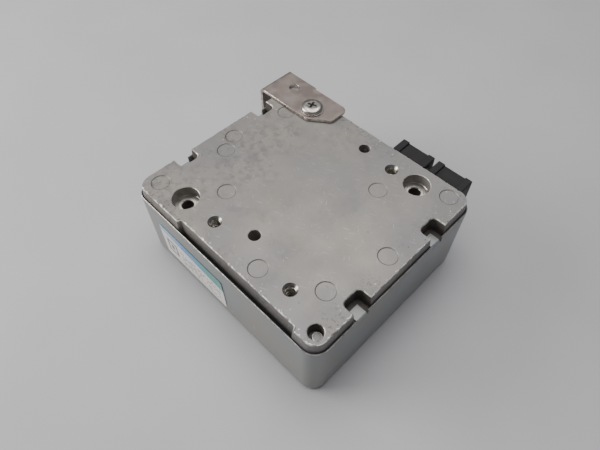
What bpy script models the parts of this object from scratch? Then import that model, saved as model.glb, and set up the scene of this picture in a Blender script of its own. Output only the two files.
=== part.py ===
"""Brake controller unit: a die-cast base closed by a folded steel cover, lying on the cover.

The unit rests on its cover with the base upwards, the way it lies on a bench.
Sizes below are in millimetres and are turned to metres as each mesh is made.
The unit frame has its origin under the middle of the base, on the cover's flat face:
-Y is the side with the label, +Y the side with the connectors, and the bracket stands at -X.
"""

import math

import bmesh
import bpy
from mathutils import Vector

MM = 0.001
GAP = 0.3  # clearance between pieces that touch

# Overall
BASE_X = 126.0
BASE_Y = 112.0
BASE_TOP = 51.0
BASE_CORNER = 6.5
COVER_MARGIN = 1.8  # how far the cover stands outside the base, each side
COVER_RIM = 45.6
SHEET = 1.0
COVER_FOOT_RADIUS = 4.0
CORNER_STEPS = 6

# Base casting
PLATE = 5.5
FLANGE_LOW = 40.0
SKIRT_LOW = 34.0
SKIRT_INSET = 2.5
CAVITY_WALL = 6.0
TOP_EDGE = 0.6
RECESS_X = (-27.9, 48.8)
RECESS_DEPTH = 2.0

# Crimp pockets, two on each X side, and the cover tabs folded into them
POCKET_DEPTH = 7.0
POCKET_WIDTH = 11.4
POCKET_FLOOR = 41.7
POCKET_Y = (-27.0, 27.5)
POCKET_CORNER = 2.6
TAB_WIDTH = 6.3
TAB_LOW = 42.0
TAB_Y = (-27.6, 26.9)
TAB_REACH = 5.2
TAB_RELIEF = 0.9

# Holes in the base, as (x, y)
COUNTERBORES = ((-38.0, -44.0), (38.0, 44.0))
COUNTERBORE_R = 7.0
COUNTERBORE_DEPTH = 5.8
THROAT_R = 3.0
TAPPED = ((-16.2, -43.2), (35.6, -43.3), (22.5, 43.1))
TAPPED_MOUTH_R = 3.6
TAPPED_R = 2.6
DOWEL_HOLES = ((3.1, -35.0), (2.6, 44.9))
DOWEL_R = 3.1
VENT = (57.0, -49.5)
VENT_R = 3.7
VENT_FLOOR_R = 3.2
VENT_DEPTH = 6.6
BRACKET_SCREW = (-38.0, 46.0)
POSTS = ((-50.0, -43.0), (50.0, -43.0), (-50.0, 43.0), (6.0, 31.0))
POST_R = 3.5
SCREW_HOLE_R = 3.3

# Bracket
STEEL = 1.6
BRACKET_LOW = BASE_TOP + 0.25
BRACKET_TOP = BRACKET_LOW + STEEL
BRACKET_X = (-72.8, -23.0)
BRACKET_Y = (37.8, 60.2)
LEG_LOW = 29.0
BEND_R = 2.2
TONGUE_X = -35.0  # where the plate's -Y edge turns towards the tip
TIP_Y = 46.4
FAR_EDGE_Y = 61.2  # outer face of the flange folded down behind the plate
FAR_FLANGE_X = (-68.6, -50.0)
FAR_FLANGE_LOW = 43.5
PIP_HOLE = (-58.7, 52.3)
PIP_HOLE_R = 2.9
SLOT = (49.5, 37.0)  # middle of the leg's mounting slot, as (y, z)
SLOT_HALF = (5.5, 3.25)

# Bracket screw and washer
WASHER_LOW = BRACKET_TOP + 0.2
WASHER_TOP = WASHER_LOW + 0.5
HEAD_LOW = WASHER_TOP + 0.2
HEAD_TOP = HEAD_LOW + 2.4

# Connectors
CONNECTOR_X = (12.5, 35.8)
CONNECTOR_W = 20.8
CONNECTOR_Z = (31.0, 49.0)
CONNECTOR_FRONT = 67.0
CONNECTOR_FLOOR = 57.0
CONNECTOR_WALL = 1.5
CONNECTOR_REAR_TOP = 43.0
SHOULDER = 4.1  # width of the raised shoulder at each end of a housing's upper side
SHOULDER_HEIGHT = 0.95
BAY_X = (11.5, 57.7)
BAY_Y = 52.8
PIN_COLUMNS = 6
PIN_PITCH = 2.2
PIN_ROWS = (35.6, 39.0)
PIN = 0.7
STRIP_FRONT = 59.0
BLADE_REACH = 4.6

# Board
BOARD_LOW = 28.3
BOARD_TOP = BOARD_LOW + 1.6
TRANSISTOR_X = (-30.0, -15.0, 0.0, 15.0)
TRANSISTOR_Y = -14.0
TRANSISTOR_THICK = 4.4
CLAMP_SCREW_X = (-22.5, 7.5)
CLAMP_THICK = 1.2
CAPACITORS = ((-10.0, 34.0), (8.0, 22.0), (-10.0, 16.0))
MICROCONTROLLER = (-34.0, 10.0)
DRIVERS = ((16.0, 8.0), (34.0, 8.0))
CRYSTAL = (-48.0, -4.0)
CHOKE = (34.0, 20.0)

# Stack under the plate, from the plate down: pad, transistors, clamp bar, clamp screws
TRANSISTOR_TOP = BASE_TOP - PLATE - 0.9
CLAMP_TOP = TRANSISTOR_TOP - TRANSISTOR_THICK - GAP
CLAMP_HEAD_TOP = CLAMP_TOP - CLAMP_THICK - GAP

# Relay, hung under the board
RELAY_X = -36.0
RELAY_Y = 8.0
ARMATURE_Z = 9.0
HINGE_X = RELAY_X - 9.6
CONTACT_X = HINGE_X + 19.6
RELAY_FOOT = BOARD_LOW - GAP - 2.0 - GAP  # upper face of the yoke's foot, below the relay base
YOKE_THICK = 1.6
COIL_TOP = RELAY_FOOT - YOKE_THICK - GAP

# Label film on the cover's -Y wall
LABEL_FACE = -(BASE_Y / 2 + COVER_MARGIN) - 0.32
LABEL_X = (-47.8, 2.7)
LABEL_Z = (8.5, 33.4)

# Seal cord round the skirt
SEAL_LOW = 35.5

# Middle of the whole unit's footprint, which becomes the part's origin
FOOTPRINT_X = (BRACKET_X[0] + BASE_X / 2 + COVER_MARGIN) / 2
FOOTPRINT_Y = (CONNECTOR_FRONT + LABEL_FACE) / 2


def clear_scene():
    for obj in list(bpy.data.objects):
        bpy.data.objects.remove(obj, do_unlink=True)


def make_material(name, colour, roughness, metallic):
    material = bpy.data.materials.new(name)
    material.use_nodes = True
    shader = material.node_tree.nodes["Principled BSDF"]
    shader.inputs["Base Color"].default_value = (*colour, 1.0)
    shader.inputs["Roughness"].default_value = roughness
    shader.inputs["Metallic"].default_value = metallic
    return material


def object_from(name, bm, place=(0.0, 0.0, 0.0)):
    """Links a finished bmesh as an object and sets it at place, in millimetres."""
    bmesh.ops.recalc_face_normals(bm, faces=bm.faces)
    mesh = bpy.data.meshes.new(name)
    bm.to_mesh(mesh)
    bm.free()
    mesh.shade_smooth()
    mesh.set_sharp_from_angle(angle=math.radians(32))
    obj = bpy.data.objects.new(name, mesh)
    obj.location = Vector(place) * MM
    bpy.context.scene.collection.objects.link(obj)
    return obj


def loft(name, rings, place=(0.0, 0.0, 0.0)):
    """Skins a chain of equal-count rings of 3D points and caps both ends."""
    bm = bmesh.new()
    rows = [[bm.verts.new(Vector(point) * MM) for point in ring] for ring in rings]
    count = len(rows[0])
    for low, high in zip(rows, rows[1:]):
        for i in range(count):
            j = (i + 1) % count
            bm.faces.new((low[i], low[j], high[j], high[i]))
    bm.faces.new(reversed(rows[0]))
    bm.faces.new(rows[-1])
    return object_from(name, bm, place)


def rounded_outline(half_x, half_y, radius, centre=(0.0, 0.0), steps=CORNER_STEPS):
    points = []
    for turn, (side_x, side_y) in enumerate(((1, 1), (-1, 1), (-1, -1), (1, -1))):
        middle_x = centre[0] + side_x * (half_x - radius)
        middle_y = centre[1] + side_y * (half_y - radius)
        for i in range(steps + 1):
            angle = math.radians(90 * (turn + i / steps))
            points.append((middle_x + radius * math.cos(angle), middle_y + radius * math.sin(angle)))
    return points


def circle_outline(x, y, radius, steps=24):
    angles = [math.tau * i / steps for i in range(steps)]
    return [(x + radius * math.cos(a), y + radius * math.sin(a)) for a in angles]


def fillet_outline(corners, steps=5):
    """Turns (x, y, radius) corners, given anticlockwise, into an outline with round corners."""
    points = []
    for i, (x, y, radius) in enumerate(corners):
        here = Vector((x, y))
        if radius == 0:
            points.append((x, y))
            continue
        before = Vector(corners[i - 1][:2]) - here
        after = Vector(corners[(i + 1) % len(corners)][:2]) - here
        half = before.angle(after) / 2
        start = here + before.normalized() * (radius / math.tan(half))
        end = here + after.normalized() * (radius / math.tan(half))
        middle = here + (before.normalized() + after.normalized()).normalized() * (radius / math.sin(half))
        for k in range(steps + 1):
            share = (start - middle).lerp(end - middle, k / steps)
            points.append(tuple(middle + share.normalized() * radius))
    return points


def ring_at(outline, z):
    return [(x, y, z) for x, y in outline]


def prism(name, outline, low, high, place=(0.0, 0.0, 0.0)):
    return loft(name, [ring_at(outline, low), ring_at(outline, high)], place)


def side_prism(name, outline, low, high, place=(0.0, 0.0, 0.0)):
    """An outline in X and Z carried along Y."""
    return loft(name, [[(x, y, z) for x, z in outline] for y in (low, high)], place)


def block(name, low, high, edge=0.0, place=(0.0, 0.0, 0.0)):
    """A box between two corners, with its edges broken by a small bevel."""
    bm = bmesh.new()
    bmesh.ops.create_cube(bm, size=1.0)
    size = Vector(high) - Vector(low)
    middle = (Vector(high) + Vector(low)) / 2
    for vert in bm.verts:
        vert.co = Vector(a * b + c for a, b, c in zip(vert.co, size, middle)) * MM
    if edge:
        bmesh.ops.bevel(bm, geom=bm.edges[:], offset=edge * MM, segments=1, affect="EDGES", profile=0.5)
    return object_from(name, bm, place)


def turned(name, profile, steps=24, place=(0.0, 0.0, 0.0)):
    """Turns a closed profile about Z. Each (radius, z) point is listed from the bottom up."""
    rings = [[(*p, z) for p in circle_outline(0, 0, radius, steps)] for radius, z in profile]
    return loft(name, rings, place)


def turned_ring(name, profile, steps=24, place=(0.0, 0.0, 0.0)):
    """Turns a closed loop of (radius, z) points into a ring with a hole through it."""
    bm = bmesh.new()
    rows = [
        [bm.verts.new(Vector((*p, z)) * MM) for p in circle_outline(0, 0, radius, steps)]
        for radius, z in profile
    ]
    for row, following in zip(rows, rows[1:] + rows[:1]):
        for i in range(steps):
            j = (i + 1) % steps
            bm.faces.new((row[i], row[j], following[j], following[i]))
    return object_from(name, bm, place)


def combine(target, tool, operation):
    """Adds, cuts or keeps with a helper shape, then removes the helper."""
    modifier = target.modifiers.new(operation.title(), "BOOLEAN")
    modifier.operation = operation
    modifier.object = tool
    modifier.solver = "EXACT"
    graph = bpy.context.evaluated_depsgraph_get()
    mesh = bpy.data.meshes.new_from_object(target.evaluated_get(graph))
    mesh.name = target.name
    target.modifiers.clear()
    old = target.data
    target.data = mesh
    bpy.data.meshes.remove(old)
    bpy.data.objects.remove(tool)
    return target


def cut(target, tool):
    return combine(target, tool, "DIFFERENCE")


def join(target, tool):
    return combine(target, tool, "UNION")


# ---------------------------------------------------------------- casing


def base_cavity():
    """The hollow under the plate, less the bosses, posts and pocket blocks that stay solid."""
    half_x = BASE_X / 2 - CAVITY_WALL
    half_y = BASE_Y / 2 - CAVITY_WALL
    ceiling = BASE_TOP - PLATE
    hollow = prism("hollow", rounded_outline(half_x, half_y, 4.0), SKIRT_LOW - 1, ceiling)
    for side in (-1, 1):
        for y in POCKET_Y:
            edge = side * (BASE_X / 2 - POCKET_DEPTH - 2.5)
            reach = side * (half_x + 2)
            low = (min(edge, reach), y - POCKET_WIDTH / 2 - 2.2, SKIRT_LOW - 2)
            high = (max(edge, reach), y + POCKET_WIDTH / 2 + 2.2, ceiling + 1)
            cut(hollow, block("pocket_block", low, high))
    bosses = [(x, y, COUNTERBORE_R + 1.6, 43.6) for x, y in COUNTERBORES]
    bosses += [(x, y, THROAT_R + 2.0, 37.6) for x, y in COUNTERBORES]
    bosses += [(x, y, TAPPED_R + 2.3, 39.5) for x, y in TAPPED]
    bosses += [(x, y, DOWEL_R + 1.8, 40.0) for x, y in DOWEL_HOLES]
    bosses += [(*BRACKET_SCREW, 5.6, 37.0)]
    bosses += [(*VENT, VENT_R + 2.0, SKIRT_LOW - 2)]
    bosses += [(x, y, POST_R, SKIRT_LOW - 3) for x, y in POSTS]
    for x, y, radius, low in bosses:
        cut(hollow, prism("boss", circle_outline(x, y, radius), low, ceiling + 1))
    return hollow


def base_casting():
    half_x, half_y = BASE_X / 2, BASE_Y / 2
    skirt_x, skirt_y = half_x - SKIRT_INSET, half_y - SKIRT_INSET
    skirt = rounded_outline(skirt_x, skirt_y, BASE_CORNER - SKIRT_INSET)
    flange = rounded_outline(half_x, half_y, BASE_CORNER)
    crown = rounded_outline(half_x - TOP_EDGE / 2, half_y - TOP_EDGE / 2, BASE_CORNER - TOP_EDGE / 2)
    rings = [
        ring_at(skirt, SKIRT_LOW),
        ring_at(skirt, FLANGE_LOW),
        ring_at(flange, FLANGE_LOW),
        ring_at(flange, BASE_TOP - TOP_EDGE),
        ring_at(crown, BASE_TOP),
    ]
    base = loft("base_casting", rings)
    cut(base, base_cavity())
    for x, y in POSTS:
        low = BOARD_TOP + GAP
        join(base, prism("post", circle_outline(x, y, POST_R), low, BASE_TOP - PLATE + 1))
        cut(base, prism("post_hole", circle_outline(x, y, 1.6, 16), low - 1, low + 9))

    for side in (-1, 1):
        for y in POCKET_Y:
            middle = (side * (half_x + 1), y)
            outline = rounded_outline(POCKET_DEPTH + 1, POCKET_WIDTH / 2, POCKET_CORNER, middle)
            cut(base, prism("pocket", outline, POCKET_FLOOR, BASE_TOP + 1))
    recess_y = -half_y + RECESS_DEPTH
    outline = fillet_outline(
        (
            (RECESS_X[0] - 3, -half_y - 3, 0),
            (RECESS_X[1] + 3, -half_y - 3, 0),
            (RECESS_X[1], recess_y, 1.4),
            (RECESS_X[0], recess_y, 1.4),
        )
    )
    cut(base, prism("side_recess", outline, FLANGE_LOW - 1, BASE_TOP + 1))
    bay_low = (BAY_X[0], BAY_Y, SKIRT_LOW - 1)
    bay_high = (BAY_X[1], half_y + 1, CONNECTOR_Z[1] + 0.2)
    cut(base, block("connector_bay", bay_low, bay_high))
    rear_low = (BAY_X[0], BAY_Y - 3.6, SKIRT_LOW - 1)
    rear_high = (BAY_X[1], BAY_Y + 1, CONNECTOR_REAR_TOP + GAP)
    cut(base, block("rear_bay", rear_low, rear_high))

    for x, y in COUNTERBORES:
        depth = BASE_TOP - COUNTERBORE_DEPTH
        cut(base, prism("counterbore", circle_outline(x, y, COUNTERBORE_R, 32), depth, BASE_TOP + 1))
        cut(base, prism("throat", circle_outline(x, y, THROAT_R), 39.2, depth + 1))
    for x, y in TAPPED:
        mouth = BASE_TOP - (TAPPED_MOUTH_R - TAPPED_R)
        profile = ((TAPPED_R, 41.0), (TAPPED_R, mouth), (TAPPED_MOUTH_R + 0.5, BASE_TOP + 0.5))
        cut(base, turned("tapped_hole", profile, place=(x, y, 0)))
    for x, y in DOWEL_HOLES:
        cut(base, prism("dowel_hole", circle_outline(x, y, DOWEL_R), 41.8, BASE_TOP + 1))
    seat = ((VENT_FLOOR_R, BASE_TOP - VENT_DEPTH), (VENT_R, BASE_TOP), (VENT_R, BASE_TOP + 1))
    cut(base, turned("vent_seat", seat, place=(*VENT, 0)))
    cut(base, prism("screw_hole", circle_outline(*BRACKET_SCREW, SCREW_HOLE_R), 38.6, BASE_TOP + 1))
    for x in CLAMP_SCREW_X:
        hole = circle_outline(x, TRANSISTOR_Y, 1.8, 16)
        cut(base, prism("clamp_hole", hole, BASE_TOP - PLATE - 1, BASE_TOP - 1.8))
    return base


def cover_shell():
    half_x = BASE_X / 2 + COVER_MARGIN
    half_y = BASE_Y / 2 + COVER_MARGIN
    corner = BASE_CORNER + COVER_MARGIN

    def skin(inset, z):
        return ring_at(rounded_outline(half_x - inset, half_y - inset, corner - inset), z)

    turns = [math.radians(90 * i / 4) for i in range(5)]
    outer = COVER_FOOT_RADIUS
    inner = outer - SHEET
    rings = [skin(outer * (1 - math.sin(a)), outer * (1 - math.cos(a))) for a in turns]
    rings += [skin(0, COVER_RIM), skin(SHEET, COVER_RIM)]
    rings += [
        skin(SHEET + inner * (1 - math.sin(a)), SHEET + inner * (1 - math.cos(a)))
        for a in reversed(turns)
    ]
    cover = loft("cover_shell", rings)

    for side in (-1, 1):
        for y in TAB_Y:
            wall = side * half_x
            inside = side * (half_x - TAB_REACH - SHEET)
            low = (min(wall - side * 3, wall + side), y - TAB_WIDTH / 2 - TAB_RELIEF, TAB_LOW)
            high = (max(wall - side * 3, wall + side), y + TAB_WIDTH / 2 + TAB_RELIEF, COVER_RIM + 1)
            cut(cover, block("tab_slot", low, high))
            profile = (
                (wall, TAB_LOW - 1.0),
                (wall, TAB_LOW + 0.3),
                (wall - side * 0.7, TAB_LOW + SHEET),
                (inside, TAB_LOW + SHEET),
                (inside, TAB_LOW),
                (wall - side * 0.95, TAB_LOW),
                (wall - side * 0.95, TAB_LOW - 1.0),
            )
            join(cover, side_prism("tab", profile, y - TAB_WIDTH / 2, y + TAB_WIDTH / 2))
    window_low = (BAY_X[0] - 0.5, half_y - 4, CONNECTOR_Z[0] - 0.8)
    window_high = (BAY_X[1] + 0.5, half_y + 1, COVER_RIM + 1)
    cut(cover, block("connector_window", window_low, window_high))
    return cover


def perimeter_seal():
    """A square-section rubber cord lying round the base's skirt, open behind the connectors."""
    half_x, half_y = BASE_X / 2, BASE_Y / 2
    outer_gap = SHEET - COVER_MARGIN + GAP
    low, high = SEAL_LOW, FLANGE_LOW - GAP
    outer = rounded_outline(half_x - outer_gap, half_y - outer_gap, BASE_CORNER - outer_gap)
    inset = SKIRT_INSET - GAP
    inner = rounded_outline(half_x - inset, half_y - inset, BASE_CORNER - inset)
    seal = prism("perimeter_seal", outer, low, high)
    cut(seal, prism("seal_hole", inner, low - 1, high + 1))
    cut(seal, block("seal_gap", (BAY_X[0] - 1, half_y - 5, low - 1), (BAY_X[1] + 1, half_y + 2, high + 1)))
    return seal


def rating_label():
    middle = (sum(LABEL_X) / 2, sum(LABEL_Z) / 2)
    half_x = (LABEL_X[1] - LABEL_X[0]) / 2
    half_z = (LABEL_Z[1] - LABEL_Z[0]) / 2
    outline = rounded_outline(half_x, half_z, 1.5, middle, 3)
    return side_prism("rating_label", outline, LABEL_FACE, LABEL_FACE + 0.2)


def vent_plug():
    low = BASE_TOP - VENT_DEPTH + GAP
    profile = ((2.6, 0.0), (2.8, 0.2), (2.8, 0.8), (2.2, 1.2))
    return turned("vent_plug", profile, place=(*VENT, low))


# ---------------------------------------------------------------- bracket


def mounting_bracket():
    (x0, x1), (y0, y1) = BRACKET_X, BRACKET_Y
    bend = x0 + BEND_R
    outline = fillet_outline(
        (
            (bend, y0, 0),
            (TONGUE_X, y0, 2.5),
            (x1, TIP_Y, 2.5),
            (x1, y1, 4.2),
            (FAR_FLANGE_X[1] + 1.4, y1, 0.6),
            (FAR_FLANGE_X[1] + 0.6, FAR_EDGE_Y, 0.6),
            (bend, FAR_EDGE_Y, 0),
        )
    )
    bracket = prism("mounting_bracket", outline, BRACKET_LOW, BRACKET_TOP)

    middle_z = BRACKET_TOP - BEND_R
    turn = [math.radians(90 + 90 * i / 5) for i in range(6)]
    leg = [(bend + 1, BRACKET_TOP)]
    leg += [(bend + BEND_R * math.cos(a), middle_z + BEND_R * math.sin(a)) for a in turn]
    leg += [(x0, LEG_LOW), (x0 + STEEL, LEG_LOW)]
    inner = BEND_R - STEEL
    leg += [(bend + inner * math.cos(a), middle_z + inner * math.sin(a)) for a in reversed(turn)]
    leg += [(bend + 1, BRACKET_LOW)]
    join(bracket, side_prism("leg", leg, y0, FAR_EDGE_Y))

    far = FAR_EDGE_Y
    flange = [(far - BEND_R - 1, BRACKET_TOP)]
    middle_y = far - BEND_R
    rise = [math.radians(90 - 90 * i / 5) for i in range(6)]
    flange += [(middle_y + BEND_R * math.cos(a), middle_z + BEND_R * math.sin(a)) for a in rise]
    flange += [(far, FAR_FLANGE_LOW), (far - STEEL, FAR_FLANGE_LOW)]
    flange += [(middle_y + inner * math.cos(a), middle_z + inner * math.sin(a)) for a in reversed(rise)]
    flange += [(far - BEND_R - 1, BRACKET_LOW)]
    rings = [[(x, y, z) for y, z in flange] for x in FAR_FLANGE_X]
    relief_low = (x0 - 0.1, far - 3.2, LEG_LOW - 1)
    cut(bracket, block("relief", relief_low, (FAR_FLANGE_X[0], far + 1, BRACKET_LOW - 1.0)))
    join(bracket, loft("far_flange", rings))

    for x, y, radius in ((*BRACKET_SCREW, SCREW_HOLE_R), (*PIP_HOLE, PIP_HOLE_R)):
        cut(bracket, prism("hole", circle_outline(x, y, radius), BRACKET_LOW - 1, BRACKET_TOP + 1))
    slot = rounded_outline(*SLOT_HALF, SLOT_HALF[1] - 0.05, SLOT)
    rings = [[(x, y, z) for y, z in slot] for x in (x0 - 1, x0 + STEEL + 1)]
    cut(bracket, loft("mounting_slot", rings))
    return bracket


def cross_recess(name, depth, top, place):
    """Two tapered bars crossed under a screw head, cut from it as a driver recess."""
    wide, narrow, half = 0.72, 0.35, 2.6
    bars = None
    for along_x in (True, False):
        low = (half * 0.45, narrow) if along_x else (narrow, half * 0.45)
        high = (half, wide) if along_x else (wide, half)
        rings = [
            [(sx * low[0], sy * low[1], top - depth) for sx, sy in ((1, 1), (-1, 1), (-1, -1), (1, -1))],
            [(sx * high[0], sy * high[1], top + 0.4) for sx, sy in ((1, 1), (-1, 1), (-1, -1), (1, -1))],
        ]
        bar = loft(name, rings, place)
        bars = join(bars, bar) if bars else bar
    return bars


def bracket_screw():
    profile = (
        (2.2, 39.2),
        (2.95, 40.0),
        (2.95, HEAD_LOW),
        (5.9, HEAD_LOW),
        (6.2, HEAD_LOW + 0.35),
        (6.1, HEAD_LOW + 0.9),
        (5.4, HEAD_LOW + 1.65),
        (4.1, HEAD_LOW + 2.15),
        (2.4, HEAD_TOP),
    )
    screw = turned("bracket_screw", profile, 32, (*BRACKET_SCREW, 0))
    return cut(screw, cross_recess("recess", 1.9, HEAD_TOP, (*BRACKET_SCREW, 0)))


def bracket_washer():
    low, high = WASHER_LOW, WASHER_TOP
    profile = ((3.25, low), (6.5, low), (6.7, low + 0.2), (6.7, high - 0.15), (6.5, high), (3.25, high))
    return turned_ring("bracket_washer", profile, 32, (*BRACKET_SCREW, 0))


# ---------------------------------------------------------------- connectors


def connector_housing(name, x):
    """One moulded shroud, open towards +Y, with two raised shoulders on its upper side."""
    low, high = CONNECTOR_Z
    half = CONNECTOR_W / 2
    middle = (half, (low + high) / 2)
    outline = rounded_outline(half, (high - low) / 2, 1.6, middle, 3)
    housing = side_prism(name, outline, 55.0, CONNECTOR_FRONT, (x, 0, 0))
    rear = ((0.8, 49.5, BOARD_TOP + GAP), (CONNECTOR_W - 0.8, 55.6, CONNECTOR_REAR_TOP))
    join(housing, block("rear_block", *rear, place=(x, 0, 0)))
    for start in (0.0, CONNECTOR_W - SHOULDER):
        low_corner = (start, 56.4, high - 1.2)
        high_corner = (start + SHOULDER, CONNECTOR_FRONT, high + SHOULDER_HEIGHT)
        join(housing, block("shoulder", low_corner, high_corner, place=(x, 0, 0)))
    half_in = half - CONNECTOR_WALL
    tall_in = (high - low) / 2 - CONNECTOR_WALL - 0.3
    socket = rounded_outline(half_in, tall_in, 1.2, middle, 3)
    cut(housing, side_prism("socket", socket, CONNECTOR_FLOOR, 68.0, (x, 0, 0)))
    tail_way = ((3.0, 48.0, BOARD_TOP - 1), (CONNECTOR_W - 3.0, CONNECTOR_FLOOR + 1, 41.5))
    return cut(housing, block("tail_way", *tail_way, place=(x, 0, 0)))


def connector_terminals(name, x):
    """Contact pins in a moulded strip: blades into the socket, tails bent down to the board."""
    columns = [CONNECTOR_W / 2 + PIN_PITCH * (i - (PIN_COLUMNS - 1) / 2) for i in range(PIN_COLUMNS)]
    xs = [3.4] + [c + s * PIN / 2 for c in columns for s in (-1, 1)] + [CONNECTOR_W - 3.4]
    zs = [33.6] + [r + s * PIN / 2 for r in PIN_ROWS for s in (-1, 1)] + [41.0]
    front, back = STRIP_FRONT, CONNECTOR_FLOOR + GAP
    bm = bmesh.new()
    grid = {}
    for y in (back, front):
        for i, gx in enumerate(xs):
            for k, gz in enumerate(zs):
                grid[y, i, k] = bm.verts.new(Vector((gx, y, gz)) * MM)
    blades, tails = [], []
    for i in range(len(xs) - 1):
        for k in range(len(zs) - 1):
            for y, keep in ((back, tails), (front, blades)):
                corners = (grid[y, i, k], grid[y, i + 1, k], grid[y, i + 1, k + 1], grid[y, i, k + 1])
                face = bm.faces.new(corners if y == back else corners[::-1])
                if i % 2 == 1 and k % 2 == 1:
                    keep.append((face, k))
    edge_runs = [(i, 0) for i in range(len(xs))]
    edge_runs += [(len(xs) - 1, k) for k in range(1, len(zs))]
    edge_runs += [(i, len(zs) - 1) for i in range(len(xs) - 2, -1, -1)]
    edge_runs += [(0, k) for k in range(len(zs) - 2, 0, -1)]
    for (i, k), (p, q) in zip(edge_runs, edge_runs[1:] + edge_runs[:1]):
        bm.faces.new((grid[back, i, k], grid[front, i, k], grid[front, p, q], grid[back, p, q]))

    def push(face, shift):
        made = bmesh.ops.extrude_face_region(bm, geom=[face])
        moved = [item for item in made["geom"] if isinstance(item, bmesh.types.BMVert)]
        bmesh.ops.translate(bm, verts=moved, vec=Vector(shift) * MM)
        bmesh.ops.delete(bm, geom=[face], context="FACES_ONLY")
        return [item for item in made["geom"] if isinstance(item, bmesh.types.BMFace)][0]

    for face, _ in blades:
        push(face, (0, BLADE_REACH, 0))
    for face, k in tails:
        bend = 53.4 if k == 1 else 51.2
        end = push(face, (0, bend - back, 0))
        end = push(end, (0, -PIN, 0))
        bm.normal_update()
        below = [f for e in end.edges for f in e.link_faces if f.normal.z < -0.9][0]
        push(below, (0, 0, BOARD_TOP + GAP - PIN_ROWS[(k - 1) // 2] + PIN / 2))
    return object_from(name, bm, (x, 0, 0))


# ---------------------------------------------------------------- board and what it carries

def main_board():
    board = prism("main_board", rounded_outline(59.0, 51.5, 4.0), BOARD_LOW, BOARD_TOP)
    for x, y in POSTS:
        cut(board, prism("hole", circle_outline(x, y, 1.9, 16), BOARD_LOW - 1, BOARD_TOP + 1))
    return board


def board_screws():
    top = BOARD_LOW - GAP
    head = ((2.4, top - 2.0), (2.9, top - 1.5), (2.9, top))
    profile = (*head, (1.25, top), (1.25, top + 8.0), (0.9, top + 8.6))
    first = turned("board_screw_1", profile, 16)
    screws = [first]
    for number in range(2, len(POSTS) + 1):
        copy = bpy.data.objects.new(f"board_screw_{number}", first.data)
        bpy.context.scene.collection.objects.link(copy)
        screws.append(copy)
    for screw, (x, y) in zip(screws, POSTS):
        screw.location = Vector((x, y, 0)) * MM
    return screws


def power_transistors():
    """Flat power packages lying under the plate, with three legs bent down to the board."""
    top = TRANSISTOR_TOP
    made = []
    for number, x in enumerate(TRANSISTOR_X, 1):
        name = f"power_transistor_{number}"
        if made:
            body = bpy.data.objects.new(name, made[0].data)
            body.location = (x * MM, TRANSISTOR_Y * MM, 0)
            bpy.context.scene.collection.objects.link(body)
            made.append(body)
            continue
        body = block(name, (-5.0, -7.5, top - TRANSISTOR_THICK), (5.0, 7.5, top), 0.4, (x, TRANSISTOR_Y, 0))
        for leg_x in (-2.54, 0.0, 2.54):
            spot = (x + leg_x, TRANSISTOR_Y + 7.0, 0)
            reach = ((-0.4, 0, top - 2.9), (0.4, 3.4, top - 2.4))
            drop = ((-0.4, 2.9, BOARD_TOP + GAP), (0.4, 3.5, top - 2.5))
            join(body, block("leg", *reach, place=spot))
            join(body, block("leg_drop", *drop, place=spot))
        made.append(body)
    return made


def thermal_pad():
    top = BASE_TOP - PLATE - GAP
    pad = block("thermal_pad", (-37.0, TRANSISTOR_Y - 8.5, top - 0.35), (22.0, TRANSISTOR_Y + 8.0, top))
    for x in CLAMP_SCREW_X:
        cut(pad, prism("hole", circle_outline(x, TRANSISTOR_Y, 2.0, 16), top - 2, top + 1))
    return pad


def clamp_bar():
    top = CLAMP_TOP
    low = (-36.0, TRANSISTOR_Y - 3.5, top - CLAMP_THICK)
    bar = block("clamp_bar", low, (21.0, TRANSISTOR_Y + 3.5, top), 0.3)
    for x in CLAMP_SCREW_X:
        cut(bar, prism("hole", circle_outline(x, TRANSISTOR_Y, 1.9, 16), top - 3, top + 1))
    return bar


def clamp_screws():
    top = CLAMP_HEAD_TOP
    profile = ((2.3, top - 1.8), (2.8, top - 1.4), (2.8, top), (1.45, top), (1.45, BASE_TOP - 2.4))
    first = turned("clamp_screw_1", profile, 16, (CLAMP_SCREW_X[0], TRANSISTOR_Y, 0))
    second = bpy.data.objects.new("clamp_screw_2", first.data)
    second.location = (CLAMP_SCREW_X[1] * MM, TRANSISTOR_Y * MM, 0)
    bpy.context.scene.collection.objects.link(second)
    return [first, second]


def chip(name, half_x, half_y, height, legs, place, sides=2):
    """A moulded chip body with flat legs standing out of two or four of its sides."""
    low = BOARD_TOP + GAP
    body = block(name, (-half_x, -half_y, low), (half_x, half_y, low + height), 0.3, place)
    pitch = 2 * (half_y - 1.0) / (legs - 1)
    for i in range(legs):
        y = -half_y + 1.0 + pitch * i
        reach = half_x + 1.2
        bar = block("leg", (-reach, y - 0.25, low + 0.6), (reach, y + 0.25, low + 0.9), place=place)
        join(body, bar)
    if sides == 4:
        pitch = 2 * (half_x - 1.0) / (legs - 1)
        for i in range(legs):
            x = -half_x + 1.0 + pitch * i
            reach = half_y + 1.2
            bar = block("leg", (x - 0.25, -reach, low + 0.6), (x + 0.25, reach, low + 0.9), place=place)
            join(body, bar)
    return body


def crystal():
    low = BOARD_TOP + GAP
    can = rounded_outline(5.4, 2.2, 2.1, steps=5)
    top = rounded_outline(5.0, 1.8, 1.7, steps=5)
    rim = rounded_outline(5.8, 2.6, 2.5, steps=5)
    rings = [ring_at(rim, low), ring_at(rim, low + 0.5), ring_at(can, low + 0.5)]
    rings += [ring_at(can, low + 3.0), ring_at(top, low + 3.4)]
    return loft("crystal", rings, (*CRYSTAL, 0))


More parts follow.
